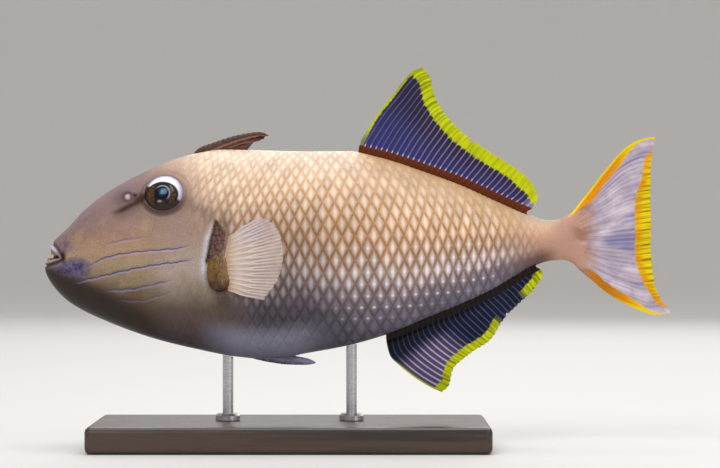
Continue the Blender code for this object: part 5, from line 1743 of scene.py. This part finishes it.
def makeKeel():
    share, path, width = taperedLine(keel["line"], keel["radii"], 90)
    width = width * np.sqrt(1 - 0.94 * np.clip((share - 0.86) / 0.14, 0, 1) ** 2)  # the rounded end
    angle = turns(32)
    knobs = 1 + 0.10 * np.sin(share[:, None] * 70 + 3 * np.cos(angle)[None]) * np.sin(4 * angle)[None]
    rings = tubeRings(path, width, 32, 0.8)
    rings = path[:, None] + (rings - path[:, None]) * knobs[..., None]
    points, faces = closedLoft(rings)
    makePiece("pelvicSpine", points, faces, makeKeelLook(), ("pelvic_spine",))


makeKeel()
print("spines made")

# Stand: the CAD's base and rods, in stained wood and satin steel
stand = {
    "wood": (0.055, 0.028, 0.015), "woodDark": (0.018, 0.009, 0.006),
    "steel": (0.60, 0.60, 0.61), "steelDark": (0.42, 0.42, 0.43),
}


def makeWoodLook():
    look, r, shader = newLook("stainedWood")
    place = r.millimetres()
    long = r.stretched(place, (0.05, 1.0, 1.0))
    grain = r.add("TexWave", {"Vector": long, "Scale": 0.22, "Distortion": 6.0, "Detail": 3.0},
                  1, bands_direction="Y")
    pores = r.noise(r.stretched(place, (0.08, 2.6, 2.6)), 1.0, 3.0)
    mixed = grain * 0.5 + r.noise(long, 0.10, 3.0) * 0.5
    colour = r.mix(r.step(mixed, 0.25, 0.75), stand["woodDark"], stand["wood"])
    colour = r.mix(r.step(pores, 0.62, 0.72, (0.0, 0.5)), colour, stand["woodDark"])
    paint(r, shader, {"Base Color": colour, "Roughness": r.step(pores, 0.3, 0.7, (0.30, 0.44)),
                      "Coat Weight": 0.3, "Coat Roughness": 0.2}, (pores, 0.25, 0.0002))
    return look


def makeSteelLook():
    look, r, shader = newLook("satinSteel")
    turned = r.noise(r.stretched(r.millimetres(), (0.3, 0.3, 6.0)), 1.0, 3.0)
    paint(r, shader, {"Base Color": r.mix(r.step(turned, 0.3, 0.7), stand["steelDark"], stand["steel"]),
                      "Roughness": r.step(turned, 0.3, 0.7, (0.24, 0.36)), "Metallic": 1.0},
          (turned, 0.15, 0.0001))
    return look


def dress(node, look):
    # gives a CAD node that still shows its finished material
    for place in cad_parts[node].material_slots:
        place.material = look


woodLook, steelLook = makeWoodLook(), makeSteelLook()
for node, look in (("stand_base", woodLook), ("stand_rod_front", steelLook), ("stand_rod_rear", steelLook)):
    dress(node, look)
print("stand finished")

# Studio: a pale round bowl for floor and backdrop, soft lamps and the camera
studio = {
    "floor": (0.68, 0.67, 0.655), "floorRadius": 3.2, "wallRadius": 6.0, "wallHeight": 5.0,
    "cameraAt": (0.0308, -1.2, 0.0951), "frameWidth": 0.3208,
    "lamps": [("key", (-0.55, -1.25, 1.25), (0.9, 0.9), 13.0), ("top", (0.1, 0.1, 1.5), (1.2, 0.8), 9.0),
              ("fill", (1.2, -1.0, 0.5), (0.9, 0.9), 3.5), ("rear", (0.3, 1.4, 0.9), (1.2, 0.8), 7.0)],
    "lampsAim": (0.03, 0.0, 0.09),
    "air": (1.0, 0.99, 0.97), "airStrength": 0.78, "filmWidth": 36.0,
}


def makeStudio():
    around = 96
    profile = [(0.02, 0.0), (1.0, 0.0), (studio["floorRadius"], 0.0)]
    bend = np.linspace(0, math.pi / 2, 14)[1:]
    gap = studio["wallRadius"] - studio["floorRadius"]
    profile += [(studio["floorRadius"] + gap * math.sin(a), gap * (1 - math.cos(a))) for a in bend]
    profile.append((studio["wallRadius"], studio["wallHeight"]))
    rings = np.array([[(radius * math.cos(t), radius * math.sin(t), z) for t in turns(around)]
                      for radius, z in profile])
    faces = np.concatenate([ringFaces(len(profile), around), capFaces(0, around)[:, ::-1]])
    mesh = bpy.data.meshes.new("floor")
    mesh.from_pydata(rings.reshape(-1, 3).tolist(), [], faces.tolist())
    mesh.shade_smooth()
    floor = bpy.data.objects.new("floor", mesh)
    bpy.context.scene.collection.objects.link(floor)
    look, r, shader = newLook("floorPaint")
    mottle = r.noise(r.add("TexCoord", output=3), 3.0, 3.0)
    worn = [0.97 * c for c in studio["floor"]]
    paint(r, shader, {"Base Color": r.mix(mottle, studio["floor"], worn), "Roughness": 0.7})
    mesh.materials.append(look)
    for name, place, size, power in studio["lamps"]:
        lamp = bpy.data.lights.new(name, "AREA")
        lamp.shape = "RECTANGLE"
        lamp.size, lamp.size_y = size
        lamp.energy = power
        holder = bpy.data.objects.new(name, lamp)
        holder.location = place
        aim = Vector(studio["lampsAim"]) - Vector(place)
        holder.rotation_euler = aim.to_track_quat("-Z", "Y").to_euler()
        bpy.context.scene.collection.objects.link(holder)
    world = bpy.data.worlds.new("studioAir")
    world.use_nodes = True
    air = world.node_tree.nodes["Background"].inputs
    air["Color"].default_value = (*studio["air"], 1.0)
    air["Strength"].default_value = studio["airStrength"]
    bpy.context.scene.world = world
    camera = bpy.data.objects.new("camera", bpy.data.cameras.new("camera"))
    camera.location = studio["cameraAt"]
    camera.rotation_euler = (math.pi / 2, 0, 0)
    camera.data.sensor_width = studio["filmWidth"]
    camera.data.lens = studio["filmWidth"] * -studio["cameraAt"][1] / studio["frameWidth"]
    bpy.context.scene.collection.objects.link(camera)
    bpy.context.scene.camera = camera
    bpy.context.scene.view_settings.view_transform = "Standard"


makeStudio()
print("studio ready")
